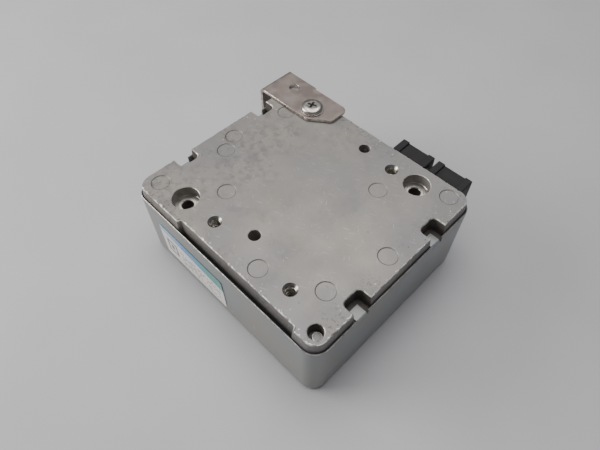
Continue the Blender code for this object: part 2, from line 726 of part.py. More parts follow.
def capacitors():
    made = []
    for number, (x, y) in enumerate(CAPACITORS, 1):
        radius, height = (5.0, 16.0) if number < 3 else (4.0, 12.0)
        top = BOARD_LOW - GAP
        profile = (
            (radius - 0.7, top - height),
            (radius, top - height + 0.7),
            (radius, top - 3.2),
            (radius - 0.6, top - 2.6),
            (radius, top - 2.0),
            (radius, top - 0.3),
            (radius - 0.3, top),
        )
        made.append(turned(f"capacitor_{number}", profile, 20, (x, y, 0)))
    return made


def choke_core():
    top = BOARD_LOW - GAP
    flange, stem, thick, height = 6.5, 3.4, 1.8, 12.0
    profile = (
        (flange, top - height),
        (flange, top - height + thick),
        (stem, top - height + thick),
        (stem, top - thick),
        (flange, top - thick),
        (flange, top),
    )
    return turned("choke_core", profile, 24, (*CHOKE, 0))


def choke_winding():
    """The wire drawn as the stack of turns it makes, one bulge for each turn."""
    low, high, turns = BOARD_LOW - GAP - 9.9, BOARD_LOW - GAP - 2.1, 6
    pitch = (high - low) / turns
    profile = [(3.75, high), (3.75, low)]
    for i in range(turns):
        profile.append((5.4, low + pitch * (i + 0.08)))
        profile.append((5.9, low + pitch * (i + 0.5)))
        profile.append((5.4, low + pitch * (i + 0.92)))
    return turned_ring("choke_winding", profile, 20, (*CHOKE, 0))


# ---------------------------------------------------------------- relay


def relay_base():
    top = BOARD_LOW - GAP
    return block("relay_base", (-12.0, -8.0, top - 2.0), (13.0, 8.0, top), 0.4, (RELAY_X, RELAY_Y, 0))


def relay_yoke():
    """An L of soft iron: its foot lies on the relay base and its leg carries the armature."""
    top = RELAY_FOOT
    foot = ((-10.4, -6.0, top - YOKE_THICK), (6.0, 6.0, top))
    leg = ((-10.4, -6.0, ARMATURE_Z + 1.2), (-8.8, 6.0, top - 1.0))
    yoke = block("relay_yoke", *foot, place=(RELAY_X, RELAY_Y, 0))
    return join(yoke, block("yoke_leg", *leg, place=(RELAY_X, RELAY_Y, 0)))


def relay_core():
    pole = ARMATURE_Z + 1.9
    profile = ((4.0, pole), (4.0, pole + 1.2), (2.4, pole + 1.2), (2.4, COIL_TOP))
    return turned("relay_core", profile, 20, (RELAY_X, RELAY_Y, 0))


def relay_coil():
    top = COIL_TOP
    low = ARMATURE_Z + 3.4
    profile = (
        (2.7, top),
        (2.7, low),
        (6.6, low),
        (6.6, low + 0.8),
        (6.0, low + 0.8),
        (6.0, top - 0.8),
        (6.6, top - 0.8),
        (6.6, top),
    )
    return turned_ring("relay_coil", profile, 24, (RELAY_X, RELAY_Y, 0))


def relay_armature():
    """The hinged plate that the coil pulls up; it rocks on the yoke leg's lower edge."""
    arm = block("relay_armature", (-1.6, -5.5, -0.6), (16.4, 5.5, 0.6), 0.2, (HINGE_X, RELAY_Y, ARMATURE_Z))
    reach = ((15.8, -2.0, -0.3), (21.4, 2.0, 0.3))
    join(arm, block("contact_arm", *reach, place=(HINGE_X, RELAY_Y, ARMATURE_Z)))
    pad = turned("contact", ((1.3, 0.1), (1.3, 0.7), (0.9, 1.0)), 12, (CONTACT_X, RELAY_Y, ARMATURE_Z))
    return join(arm, pad)


def relay_fixed_contact():
    """A bent strip from the relay base down past the coil, ending in a contact over the arm's end."""
    x = CONTACT_X
    low = ARMATURE_Z + 3.2
    near, far = RELAY_Y - 2.2, RELAY_Y + 2.2
    strip = block("relay_fixed_contact", (x - 1.6, near, low), (x + 2.6, far, low + 0.6))
    join(strip, block("riser", (x + 2.0, near, low + 0.1), (x + 2.6, far, RELAY_FOOT)))
    pad = turned("fixed_pad", ((0.9, 2.5), (1.3, 2.8), (1.3, 3.4)), 12, (x, RELAY_Y, ARMATURE_Z))
    return join(strip, pad)


# ---------------------------------------------------------------- assembly


def give(material, *pieces):
    for piece in pieces:
        piece.data.materials.clear()
        piece.data.materials.append(material)


def build():
    clear_scene()
    cast = make_material("cast_aluminium", (0.36, 0.34, 0.31), 0.55, 0.75)
    paint = make_material("grey_green_paint", (0.20, 0.21, 0.20), 0.5, 0.1)
    zinc = make_material("passivated_zinc_steel", (0.27, 0.24, 0.22), 0.45, 0.7)
    bright = make_material("bright_zinc", (0.62, 0.60, 0.56), 0.3, 0.9)
    black = make_material("black_moulding", (0.012, 0.011, 0.013), 0.55, 0.0)
    rubber = make_material("seal_rubber", (0.02, 0.02, 0.02), 0.8, 0.0)
    paper = make_material("label_film", (0.72, 0.76, 0.80), 0.35, 0.0)
    gold = make_material("terminal_brass", (0.60, 0.46, 0.20), 0.3, 0.9)
    laminate = make_material("board_laminate", (0.03, 0.13, 0.06), 0.45, 0.0)
    resin = make_material("chip_resin", (0.02, 0.02, 0.022), 0.5, 0.0)
    pad_grey = make_material("pad_silicone", (0.45, 0.46, 0.47), 0.7, 0.0)
    sleeve = make_material("capacitor_sleeve", (0.02, 0.03, 0.09), 0.35, 0.0)
    ferrite = make_material("ferrite", (0.05, 0.05, 0.05), 0.6, 0.1)
    copper = make_material("enamelled_copper", (0.45, 0.17, 0.07), 0.35, 0.8)
    iron = make_material("soft_iron", (0.42, 0.42, 0.40), 0.4, 0.9)
    ivory = make_material("relay_moulding", (0.62, 0.58, 0.48), 0.5, 0.0)

    give(cast, base_casting())
    give(paint, cover_shell())
    give(zinc, mounting_bracket())
    give(bright, bracket_screw(), bracket_washer(), vent_plug())
    give(rubber, perimeter_seal())
    give(paper, rating_label())
    for letter, x in zip("ab", CONNECTOR_X):
        give(black, connector_housing(f"connector_{letter}_housing", x))
        give(gold, connector_terminals(f"connector_{letter}_terminals", x))
    give(laminate, main_board())
    give(bright, *board_screws(), *clamp_screws(), crystal())
    give(resin, *power_transistors())
    give(resin, chip("microcontroller", 9.0, 9.0, 2.4, 8, (*MICROCONTROLLER, 0), sides=4))
    for number, (x, y) in enumerate(DRIVERS, 1):
        give(resin, chip(f"driver_chip_{number}", 3.8, 6.4, 2.3, 6, (x, y, 0)))
    give(pad_grey, thermal_pad())
    give(iron, clamp_bar(), relay_yoke(), relay_core(), relay_armature())
    give(sleeve, *capacitors())
    give(ferrite, choke_core())
    give(copper, choke_winding(), relay_coil())
    give(ivory, relay_base())
    give(gold, relay_fixed_contact())

    frame = bpy.data.objects.new("unit_frame", None)
    frame.location = Vector((-FOOTPRINT_X, -FOOTPRINT_Y, 0)) * MM
    bpy.context.scene.collection.objects.link(frame)
    for obj in bpy.context.scene.collection.objects:
        if obj is not frame:
            obj.parent = frame


build()
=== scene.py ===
"""Looks of the brake controller unit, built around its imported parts.

A die-cast aluminium base lies on top of a painted steel cover. The cover's tabs are folded into the
base's pockets, a steel bracket is screwed to one corner, and two sockets stand out of the far side.
Lengths are in millimetres from the middle of the base, with z up from the surface it rests on.
"""

import math
import random

import bmesh
import bpy
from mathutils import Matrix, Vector, noise


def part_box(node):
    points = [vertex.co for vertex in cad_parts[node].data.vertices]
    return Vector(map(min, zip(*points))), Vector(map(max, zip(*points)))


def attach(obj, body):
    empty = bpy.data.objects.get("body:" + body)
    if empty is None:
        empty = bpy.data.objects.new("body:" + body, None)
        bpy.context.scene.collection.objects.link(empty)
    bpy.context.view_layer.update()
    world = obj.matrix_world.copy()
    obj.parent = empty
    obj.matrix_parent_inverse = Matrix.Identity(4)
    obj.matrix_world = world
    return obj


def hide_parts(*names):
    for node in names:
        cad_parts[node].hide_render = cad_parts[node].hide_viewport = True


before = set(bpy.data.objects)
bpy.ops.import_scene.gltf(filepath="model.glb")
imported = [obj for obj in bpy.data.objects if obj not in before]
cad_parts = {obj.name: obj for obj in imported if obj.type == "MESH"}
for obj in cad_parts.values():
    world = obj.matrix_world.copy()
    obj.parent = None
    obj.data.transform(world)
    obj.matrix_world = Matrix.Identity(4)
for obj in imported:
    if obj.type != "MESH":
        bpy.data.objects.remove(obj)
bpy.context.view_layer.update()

MM = 0.001
CASING = "casing"

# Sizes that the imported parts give
base_low, base_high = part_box("base_casting")
cover_low, cover_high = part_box("cover_shell")
MIDDLE = (base_low + base_high) / 2
HALF_X = (base_high.x - base_low.x) / 2 / MM
HALF_Y = (base_high.y - base_low.y) / 2 / MM
TOP = base_high.z / MM
SKIRT_LOW = base_low.z / MM
COVER_HALF_X = (cover_high.x - cover_low.x) / 2 / MM
COVER_HALF_Y = (cover_high.y - cover_low.y) / 2 / MM
RIM = cover_high.z / MM

# Base casting
CORNER = 6.5
FLANGE_LOW = 40.0
SKIRT_INSET = 2.5
SEAM = 45.5
DRAFT = 0.65
PLATE = 5.5
CAVITY_WALL = 6.0
EDGE_STEP = 0.9  # longest step between two points of the rubbed edge
# Corners of the recess along the near side, as (x, depth)
RECESS = ((-29.1, 0), (-27.9, 2.0), (48.8, 2.0), (50.0, 0))
POCKET_DEPTH = 7.0
POCKET_HALF = 5.7
POCKET_FLOOR = 41.7
POCKET_Y = (-27.0, 27.5)
POCKET_CORNER = 2.6
POCKET_WALL = 2.5
COUNTERBORES = ((-38.0, -44.0), (38.0, 44.0))
COUNTERBORE_R = 7.0
COUNTERBORE_DEPTH = 5.8
THROAT_R = 3.0
THROAT_LOW = 39.2
SEAT_BOSS = (8.6, 43.6)  # (radius, lowest point) of the boss round a counterbore
THROAT_BOSS = (5.0, 37.6)
TAPPED = ((-16.2, -43.2), (35.6, -43.3), (22.5, 43.1))
TAPPED_R = 2.6
THREAD_PITCH = 0.9
TAPPED_LOW = 41.0
TAPPED_BOSS_LOW = 39.5
DOWEL_HOLES = ((3.1, -35.0), (2.6, 44.9))
DOWEL_R = 3.1
DOWEL_LOW = 41.8
DOWEL_BOSS_LOW = 40.0
BOSS_R = 4.9
VENT = (57.0, -49.5)
VENT_BOSS_R = 5.7
BRACKET_SCREW = (-38.0, 46.0)
SCREW_HOLE_R = 3.3
SCREW_HOLE_LOW = 38.6
SCREW_BOSS = (5.6, 37.0)
POSTS = ((-50.0, -43.0), (50.0, -43.0), (-50.0, 43.0), (6.0, 31.0))
POST_R = 3.5
POST_HOLE_R = 1.6
POST_HOLE_DEEP = 9.0
CLAMP_SCREWS = ((-22.5, -14.0), (7.5, -14.0))
CLAMP_HOLE_R = 1.8
EJECTOR_MARKS = (
    (-55.1, -46.9), (-26.7, -27.0), (17.7, -46.0), (47.0, -32.8), (54.7, 0.2),
    (26.4, 27.4), (54.3, 48.8), (-54.4, 1.5), (-48.3, 35.3), (-49.2, -8.5),
)
EJECTOR_R = 5.0
EJECTOR_DEPTH = 0.3

# Cover
SHEET = 1.0
FOOT_R = 4.0
WINDOW_LOW = 30.2
TAB_Y = (-27.6, 26.9)
TAB_HALF = 3.15
TAB_RELIEF = 0.55
TAB_LOW = 42.0
TAB_REACH = 6.2
BAY_X = (11.5, 57.7)
BAY_TOP = 49.2

# Label
LABEL_X = (-47.8, 2.7)
LABEL_Z = (8.5, 33.4)
# A plain square with a block in it, as bars of (left, right, bottom, top)
PLAIN_MARK = (
    (3.4, 12.2, 14.8, 16.4), (3.4, 12.2, 5.4, 7.0), (3.4, 4.9, 6.4, 15.4), (10.7, 12.2, 6.4, 15.4),
    (6.4, 9.2, 9.0, 12.8),
)

# Bracket
STEEL = 1.6
BEND_R = 2.2
BRACKET_LOW = 51.25
BRACKET_TOP = BRACKET_LOW + STEEL
PIP_HOLE = (-58.7, 52.3)
SLOT = (49.5, 37.0)
TONGUE_BEVEL = (-35.0, 46.6)
FAR_FLANGE = (-68.6, -50.0)
FAR_FLANGE_LOW = 43.5
HEAD = 2.4

# Connectors
CONNECTOR_W = 20.8
CONNECTOR_Z = (31.0, 49.0)
SHOULDER = 4.1
SHOULDER_RISE = 0.95
SHOULDER_BACK = 56.4
SOCKET_FLOOR = 57.0
PIN_PITCH = 2.2
PIN_ROWS = (35.6, 39.0)
PIN_COLUMNS = 6
BOARD_TOP = 29.9

ROUND = 64  # sides of a turned piece that shows

# Camera
CAMERA_PLACE = (110.4, -112.14, 238.3)
CAMERA_DOWN = 53.95
CAMERA_HEADING = 44.99
LENS = 29.19


# ---------------------------------------------------------------- shapes


def at(x, y, z):
    """A point in millimetres from the middle of the base, as the frame holds it."""
    return Vector((MIDDLE.x + x * MM, MIDDLE.y + y * MM, z * MM))


def fillet(corners, steps=12):
    """An outline from (x, y, radius) corners given anticlockwise, each rounded by its radius."""
    points = []
    for i, (x, y, radius) in enumerate(corners):
        here = Vector((x, y))
        if radius == 0:
            points.append((x, y))
            continue
        before = (Vector(corners[i - 1][:2]) - here).normalized()
        after = (Vector(corners[(i + 1) % len(corners)][:2]) - here).normalized()
        half = before.angle(after) / 2
        middle = here + (before + after).normalized() * (radius / math.sin(half))
        start = here + before * (radius / math.tan(half)) - middle
        end = here + after * (radius / math.tan(half)) - middle
        sweep = math.pi - 2 * half
        for k in range(steps + 1):
            part = k / steps
            turn = start * math.sin((1 - part) * sweep) + end * math.sin(part * sweep)
            points.append(tuple(middle + turn / math.sin(sweep)))
    return points


def rounded(half_x, half_y, radius, centre=(0.0, 0.0), steps=12):
    x, y = centre
    signs = ((1, 1), (-1, 1), (-1, -1), (1, -1))
    return fillet([(x + a * half_x, y + b * half_y, radius) for a, b in signs], steps)


def circle(x, y, radius, steps=ROUND):
    turns = [math.tau * i / steps for i in range(steps)]
    return [(x + radius * math.cos(t), y + radius * math.sin(t)) for t in turns]


def spaced(outline, longest):
    """The same outline with points added, so that no side is longer than longest."""
    points = []
    for here, after in zip(outline, outline[1:] + outline[:1]):
        here, after = Vector(here), Vector(after)
        count = max(1, math.ceil((after - here).length / longest))
        points += [tuple(here.lerp(after, i / count)) for i in range(count)]
    return points


def inset(outline, amounts):
    """Moves each point of an anticlockwise outline inwards, by one amount or one for each point."""
    if not isinstance(amounts, list):
        amounts = [amounts] * len(outline)
    moved = []
    for i, (x, y) in enumerate(outline):
        along = Vector(outline[(i + 1) % len(outline)]) - Vector(outline[i - 1])
        along.normalize()
        moved.append((x - along.y * amounts[i], y + along.x * amounts[i]))
    return moved


def level(outline, z):
    return [(x, y, z) for x, y in outline]


def object_from(name, bm, materials):
    bmesh.ops.recalc_face_normals(bm, faces=bm.faces)
    mesh = bpy.data.meshes.new(name)
    bm.to_mesh(mesh)
    bm.free()
    for material in materials:
        mesh.materials.append(material)
    obj = bpy.data.objects.new(name, mesh)
    bpy.context.scene.collection.objects.link(obj)
    return obj


def skin(name, rings, materials, bands=None, ends=(0, 0), loop=False):
    """Skins a chain of equal rings of points.

    bands numbers the material of each band between two rings, and ends those of the two caps.
    With loop, the last ring joins the first and there are no caps.
    """
    bm = bmesh.new()
    rows = [[bm.verts.new(at(*point)) for point in ring] for ring in rings]
    pairs = list(zip(rows, rows[1:] + rows[:1]))
    if not loop:
        pairs.pop()
        bm.faces.new(reversed(rows[0])).material_index = ends[0]
        bm.faces.new(rows[-1]).material_index = ends[1]
    for number, (low, high) in enumerate(pairs):
        for i in range(len(low)):
            j = (i + 1) % len(low)
            face = bm.faces.new((low[i], low[j], high[j], high[i]))
            face.material_index = bands[number] if bands else 0
    return object_from(name, bm, materials)


def turned(name, profile, centre, materials, bands=None, ends=(0, 0), steps=ROUND):
    """Turns (radius, z) points, listed from the bottom up, about an upright axis."""
    rings = [level(circle(*centre, radius, steps), z) for radius, z in profile]
    return skin(name, rings, materials, bands, ends)


def block(name, low, high, materials, number=0):
    outline = [(low[0], low[1]), (high[0], low[1]), (high[0], high[1]), (low[0], high[1])]
    rings = [level(outline, low[2]), level(outline, high[2])]
    return skin(name, rings, materials, [number], (number, number))


def settle(obj):
    """Turns an object with its modifiers into a plain mesh."""
    graph = bpy.context.evaluated_depsgraph_get()
    mesh = bpy.data.meshes.new_from_object(obj.evaluated_get(graph), depsgraph=graph)
    mesh.name = obj.name
    obj.modifiers.clear()
    obj.data = mesh
    return obj


def combine(target, tool, operation="DIFFERENCE"):
    """Cuts a helper shape from a piece, or joins it on; new faces keep the helper's material."""
    change = target.modifiers.new("combine", "BOOLEAN")
    change.operation = operation
    change.object = tool
    change.solver = "EXACT"
    change.material_mode = "TRANSFER"
    settle(target)
    bpy.data.objects.remove(tool)
    return target


def round_edges(obj, width, segments=2, angle=30):
    edges = obj.modifiers.new("edges", "BEVEL")
    edges.width = width * MM
    edges.segments = segments
    edges.limit_method = "ANGLE"
    edges.angle_limit = math.radians(angle)
    return settle(obj)


def finish_piece(obj, nodes=(), body=CASING, sharp=35):
    """Closes a piece's mesh, shades it by its larger faces, and hangs it on its body."""
    bm = bmesh.new()
    bm.from_mesh(obj.data)
    bmesh.ops.remove_doubles(bm, verts=bm.verts, dist=0.001 * MM)
    bm.to_mesh(obj.data)
    bm.free()
    obj.data.shade_smooth()
    obj.data.set_sharp_from_angle(angle=math.radians(sharp))
    weight = obj.modifiers.new("weight", "WEIGHTED_NORMAL")
    weight.keep_sharp = True
    settle(obj)
    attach(obj, body)
    if nodes:
        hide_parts(*nodes)
    return obj


# ---------------------------------------------------------------- finishes


def shade(code):
    """A colour written as sRGB hex, turned to linear."""
    values = [int(code[i : i + 2], 16) / 255 for i in (0, 2, 4)]
    return (*[v / 12.92 if v <= 0.04045 else ((v + 0.055) / 1.055) ** 2.4 for v in values], 1.0)


def add(tree, kind, sockets=None, **settings):
    """Adds a node with its settings; a socket takes a plain value or another node's output."""
    made = tree.nodes.new(kind)
    for key, value in settings.items():
        setattr(made, key, value)
    for key, value in (sockets or {}).items():
        if isinstance(value, bpy.types.NodeSocket):
            tree.links.new(value, made.inputs[key])
        else:
            made.inputs[key].default_value = value
    return made


def finish(name, values):
    """A new material with plain values on its shader. Returns it with its tree, shader and coordinates."""
    material = bpy.data.materials.new(name)
    material.use_nodes = True
    tree = material.node_tree
    shader = tree.nodes["Principled BSDF"]
    for socket, value in values.items():
        shader.inputs[socket].default_value = value
    where = add(tree, "ShaderNodeTexCoord").outputs["Object"]
    return material, tree, shader, where


def patches(tree, where, size, start, full, detail=3.0, seed=0.0):
    """A mask of soft patches about size millimetres across, growing from start to full."""
    sockets = {"Vector": where, "W": seed, "Scale": 1 / (size * MM), "Detail": detail}
    cloud = add(tree, "ShaderNodeTexNoise", sockets, noise_dimensions="4D")
    limits = {"Value": cloud.outputs[0], "From Min": start, "From Max": full}
    return add(tree, "ShaderNodeMapRange", limits).outputs[0]


def marks(tree, where, spacing, size, share):
    """A mask of round marks of that size, in a share of cells that are spacing apart."""
    cells = add(tree, "ShaderNodeTexVoronoi", {"Vector": where, "Scale": 1 / (spacing * MM)})
    edge = size / 2 / spacing
    limits = {"Value": cells.outputs["Distance"], "From Min": edge, "From Max": edge * 0.5}
    disc = add(tree, "ShaderNodeMapRange", limits).outputs[0]
    chosen = add(tree, "ShaderNodeSeparateColor", {0: cells.outputs["Color"]}).outputs[0]
    chosen = add(tree, "ShaderNodeMath", {0: chosen, 1: share}, operation="LESS_THAN").outputs[0]
    return meeting(tree, disc, chosen)


def meeting(tree, *masks):
    """A mask that is full only where all the given masks are."""
    joined = masks[0]
    for mask in masks[1:]:
        joined = add(tree, "ShaderNodeMath", {0: joined, 1: mask}, operation="MULTIPLY").outputs[0]
    return joined


def scratches(tree, where, heading, length, width, start, seed=0.0):
    """A mask of fine lines that run along heading, in degrees."""
    sockets = {
        "Vector": where,
        "Rotation": (0, 0, math.radians(heading)),
        "Scale": (length * MM, width * MM, length * MM),
    }
    along = add(tree, "ShaderNodeMapping", sockets, vector_type="TEXTURE").outputs[0]
    sockets = {"Vector": along, "W": seed, "Scale": 1.0, "Detail": 1.0}
    streak = add(tree, "ShaderNodeTexNoise", sockets, noise_dimensions="4D").outputs[0]
    limits = {"Value": streak, "From Min": start, "From Max": start + 0.04}
    return add(tree, "ShaderNodeMapRange", limits).outputs[0]


def die_cast_aluminium(name="die_cast_aluminium", worn=False):
    """Die-cast aluminium as it leaves the die: dull grey, clouded, with stains and nicks near its edges.

    The worn variant is for broken edges, where handling has rubbed the skin bright in places.
    """
    material, tree, shader, where = finish(name, {"Metallic": 0.45})

    def over(colour, mask, share, code):
        """Lays a colour over another, through a mask, at a share of full strength."""
        amount = add(tree, "ShaderNodeMath", {0: mask, 1: share}, operation="MULTIPLY").outputs[0]
        sockets = {0: amount, 6: colour, 7: shade(code)}
        return add(tree, "ShaderNodeMix", sockets, data_type="RGBA").outputs[2]

    # How near a point is to the rim, and how far over to the -X side, where the skin is most stained and
    # where the top also takes painted shade
    sockets = {0: where, 1: tuple(at(0, 0, 0))}
    local = add(tree, "ShaderNodeVectorMath", sockets, operation="SUBTRACT").outputs[0]
    reach = add(tree, "ShaderNodeVectorMath", {0: local}, operation="ABSOLUTE").outputs[0]
    sockets = {0: reach, 1: (1 / HALF_X / MM, 1 / HALF_Y / MM, 0)}
    reach = add(tree, "ShaderNodeVectorMath", sockets, operation="MULTIPLY").outputs[0]
    across, along, _ = add(tree, "ShaderNodeSeparateXYZ", {0: reach}).outputs
    reach = add(tree, "ShaderNodeMath", {0: across, 1: along}, operation="MAXIMUM").outputs[0]
    rim = add(tree, "ShaderNodeMapRange", {"Value": reach, "From Min": 0.8, "From Max": 0.97}).outputs[0]
    side = add(tree, "ShaderNodeSeparateXYZ", {0: local}).outputs[0]
    limits = {"Value": side, "From Min": 0.03, "From Max": -0.05, "To Min": 0.15, "To Max": 1.0}
    side = add(tree, "ShaderNodeMapRange", limits).outputs[0]

    sockets = {0: patches(tree, where, 42, 0.36, 0.64, 3), 6: shade("8D8B8C"), 7: shade("9F9A93")}
    colour = add(tree, "ShaderNodeMix", sockets, data_type="RGBA").outputs[2]
    colour = over(colour, patches(tree, where, 14, 0.52, 0.72, 4, 3.0), 0.45, "868482")
    mottle = patches(tree, where, 3.4, 0.46, 0.66, 3, 4.0)
    mottle = meeting(tree, mottle, patches(tree, where, 22, 0.4, 0.6, 2, 5.0), side)
    colour = over(colour, mottle, 0.8, "706D6C")
    # Painted shade: the -X side of the top is darkened as a whole, standing in for light that falls off
    # across it
    colour = over(colour, side, 0.25, "7E7B78")
    # Die-cast skin has a grain near 0.1 mm; it is drawn at 0.5 mm, so that it shows
    grain = patches(tree, where, 0.5, 0.3, 0.7, 3, 6.0)
    colour = over(colour, grain, 0.16, "6F6D6B")
    pits = marks(tree, where, 3.1, 0.9, 0.12)
    pitted = add(tree, "ShaderNodeMath", {0: rim, 1: side}, operation="MAXIMUM").outputs[0]
    colour = over(colour, meeting(tree, pits, pitted), 0.6, "565351")
    spots = patches(tree, where, 1.5, 0.55, 0.66, 3, 7.0)
    stained = meeting(tree, rim, patches(tree, where, 16, 0.45, 0.6, 2, 8.0))
    colour = over(colour, meeting(tree, spots, stained), 0.75, "5A5754")
    nicks = meeting(tree, marks(tree, where, 2.2, 0.85, 0.16), rim)
    colour = over(colour, nicks, 0.9, "E4E1DD")
    lines = scratches(tree, where, 25, 7, 0.35, 0.70)
    cross = scratches(tree, where, -52, 5, 0.3, 0.71, 5.0)
    lines = add(tree, "ShaderNodeMath", {0: lines, 1: cross}, operation="MAXIMUM").outputs[0]
    colour = over(colour, lines, 0.55, "CFCCC8")
    rough = patches(tree, where, 18, 0.35, 0.65, 4, 9.0)
    rough = add(tree, "ShaderNodeMapRange", {"Value": rough, "To Min": 0.47, "To Max": 0.6}).outputs[0]
    if worn:
        rubbed = patches(tree, where, 2.2, 0.4, 0.55, 4, 12.0)
        colour = over(colour, rubbed, 1.0, "E2DED9")
        smooth = add(tree, "ShaderNodeMath", {0: rubbed, 1: -0.16}, operation="MULTIPLY").outputs[0]
        rough = add(tree, "ShaderNodeMath", {0: rough, 1: smooth}).outputs[0]
    tree.links.new(colour, shader.inputs["Base Color"])
    tree.links.new(rough, shader.inputs["Roughness"])
    wave = patches(tree, where, 9, 0.0, 1.0, 2, 15.0)
    skin_wave = add(tree, "ShaderNodeBump", {"Height": wave, "Strength": 0.5, "Distance": 0.0002})
    fine = {"Height": grain, "Strength": 0.35, "Distance": 0.00006, "Normal": skin_wave.outputs[0]}
    fine = add(tree, "ShaderNodeBump", fine)
    dents = {"Height": pits, "Strength": 0.6, "Distance": 0.00015, "Normal": fine.outputs[0]}
    dents = add(tree, "ShaderNodeBump", dents, invert=True)
    tree.links.new(dents.outputs[0], shader.inputs["Normal"])
    return material


def bored_aluminium():
    """Aluminium cut by a drill or a boring tool: brighter than the skin, with rings round the bore."""
    material, tree, shader, where = finish("bored_aluminium", {"Metallic": 1.0, "Roughness": 0.3})
    # Tool marks lie about 0.1 mm apart; they are drawn 0.789 mm apart, so that they show.
    # The band pattern repeats every pi / 10 of its own units.
    apart = 0.789
    sockets = {"Vector": where, "Scale": math.pi / 10 / (apart * MM), "Distortion": 0.4}
    rings = add(tree, "ShaderNodeTexWave", sockets, wave_type="BANDS", bands_direction="Z")
    bump = {"Height": rings.outputs["Fac"], "Strength": 0.06, "Distance": 0.00003}
    tree.links.new(add(tree, "ShaderNodeBump", bump).outputs[0], shader.inputs["Normal"])
    dull = patches(tree, where, 3, 0.4, 0.65)
    sockets = {0: dull, 6: shade("CBC7C0"), 7: shade("A19D96")}
    colour = add(tree, "ShaderNodeMix", sockets, data_type="RGBA").outputs[2]
    tree.links.new(colour, shader.inputs["Base Color"])
    return material


def painted_shade_aluminium():
    """The same cast skin low in its hollows and grooves, made darker and duller: painted shade, standing in
    for the shadow inside them.
    """
    material, tree, shader, where = finish("painted_shade_aluminium", {"Metallic": 0.3, "Roughness": 0.7})
    shade_patches = patches(tree, where, 3.5, 0.35, 0.65, 2)
    sockets = {0: shade_patches, 6: shade("68635E"), 7: shade("524D49")}
    colour = add(tree, "ShaderNodeMix", sockets, data_type="RGBA").outputs[2]
    tree.links.new(colour, shader.inputs["Base Color"])
    return material


def satin_paint():
    """Satin grey-green stove enamel sprayed on steel sheet: a soft sheen, fine orange peel and smudges."""
    material, tree, shader, where = finish("satin_enamel_paint", {"IOR": 1.5, "Metallic": 0.25})
    smudge = patches(tree, where, 26, 0.42, 0.66, 4)
    sockets = {0: smudge, 6: shade("8B9092"), 7: shade("969793")}
    colour = add(tree, "ShaderNodeMix", sockets, data_type="RGBA").outputs[2]
    dust = patches(tree, where, 0.9, 0.62, 0.75, 3, 4.0)
    dust = add(tree, "ShaderNodeMath", {0: dust, 1: 0.25}, operation="MULTIPLY").outputs[0]
    colour = add(tree, "ShaderNodeMix", {0: dust, 6: colour, 7: shade("A9AAA6")}, data_type="RGBA").outputs[2]
    lines = scratches(tree, where, 8, 14, 0.35, 0.75, 2.0)
    lines = add(tree, "ShaderNodeMath", {0: lines, 1: 0.35}, operation="MULTIPLY").outputs[0]
    sockets = {0: lines, 6: colour, 7: shade("B9BAB8")}
    colour = add(tree, "ShaderNodeMix", sockets, data_type="RGBA").outputs[2]
    tree.links.new(colour, shader.inputs["Base Color"])
    rough = add(tree, "ShaderNodeMapRange", {"Value": smudge, "To Min": 0.33, "To Max": 0.45})
    tree.links.new(rough.outputs[0], shader.inputs["Roughness"])
    peel = patches(tree, where, 1.6, 0.2, 0.8, 1, 7.0)
    bump = add(tree, "ShaderNodeBump", {"Height": peel, "Strength": 0.12, "Distance": 0.00005})
    tree.links.new(bump.outputs[0], shader.inputs["Normal"])
    return material


def sheared_steel(name, bright, dull):
    """The cut edge of steel sheet: bare and bright, dulled here and there."""
    material, tree, shader, where = finish(name, {"Metallic": 1.0, "Roughness": 0.34})
    worn = patches(tree, where, 2.4, 0.42, 0.62, 3)
    sockets = {0: worn, 6: shade(bright), 7: shade(dull)}
    colour = add(tree, "ShaderNodeMix", sockets, data_type="RGBA").outputs[2]
    tree.links.new(colour, shader.inputs["Base Color"])
    tear = scratches(tree, where, 90, 3, 0.25, 0.5)
    bump = add(tree, "ShaderNodeBump", {"Height": tear, "Strength": 0.3, "Distance": 0.00005})
    tree.links.new(bump.outputs[0], shader.inputs["Normal"])
    return material


def passivated_steel():
    """Zinc-plated and passivated steel sheet: brownish grey, even, with faint blooms and rolling lines."""
    material, tree, shader, where = finish("passivated_zinc_steel", {"Metallic": 0.85})
    bloom = patches(tree, where, 7, 0.4, 0.65, 4)
    sockets = {0: bloom, 6: shade("988B86"), 7: shade("A39893")}
    colour = add(tree, "ShaderNodeMix", sockets, data_type="RGBA").outputs[2]
    specks = marks(tree, where, 5.0, 0.9, 0.2)
    specks = add(tree, "ShaderNodeMath", {0: specks, 1: 0.5}, operation="MULTIPLY").outputs[0]
    sockets = {0: specks, 6: colour, 7: shade("55504D")}
    colour = add(tree, "ShaderNodeMix", sockets, data_type="RGBA").outputs[2]
    tree.links.new(colour, shader.inputs["Base Color"])
    rough = add(tree, "ShaderNodeMapRange", {"Value": bloom, "To Min": 0.4, "To Max": 0.52})
    tree.links.new(rough.outputs[0], shader.inputs["Roughness"])
    rolled = scratches(tree, where, 0, 12, 0.4, 0.45, 3.0)
    bump = add(tree, "ShaderNodeBump", {"Height": rolled, "Strength": 0.12, "Distance": 0.00004})
    tree.links.new(bump.outputs[0], shader.inputs["Normal"])
    return material


def bright_zinc():
    """Bright zinc plate on a cold-headed screw: silvery, a little clouded, with dirt specks."""
    material, tree, shader, where = finish("bright_zinc_plate", {"Metallic": 1.0})
    cloud = patches(tree, where, 2.5, 0.4, 0.7, 3)
    sockets = {0: cloud, 6: shade("DAD6D0"), 7: shade("B5B0A9")}
    colour = add(tree, "ShaderNodeMix", sockets, data_type="RGBA").outputs[2]
    tree.links.new(colour, shader.inputs["Base Color"])
    rough = add(tree, "ShaderNodeMapRange", {"Value": cloud, "To Min": 0.26, "To Max": 0.42})
    tree.links.new(rough.outputs[0], shader.inputs["Roughness"])
    # Plating crystals are finer than 0.05 mm; they are drawn at 0.5 mm, so that they show
    fine = patches(tree, where, 0.5, 0.3, 0.7, 2, 5.0)
    bump = add(tree, "ShaderNodeBump", {"Height": fine, "Strength": 0.15, "Distance": 0.00004})
    tree.links.new(bump.outputs[0], shader.inputs["Normal"])
    return material


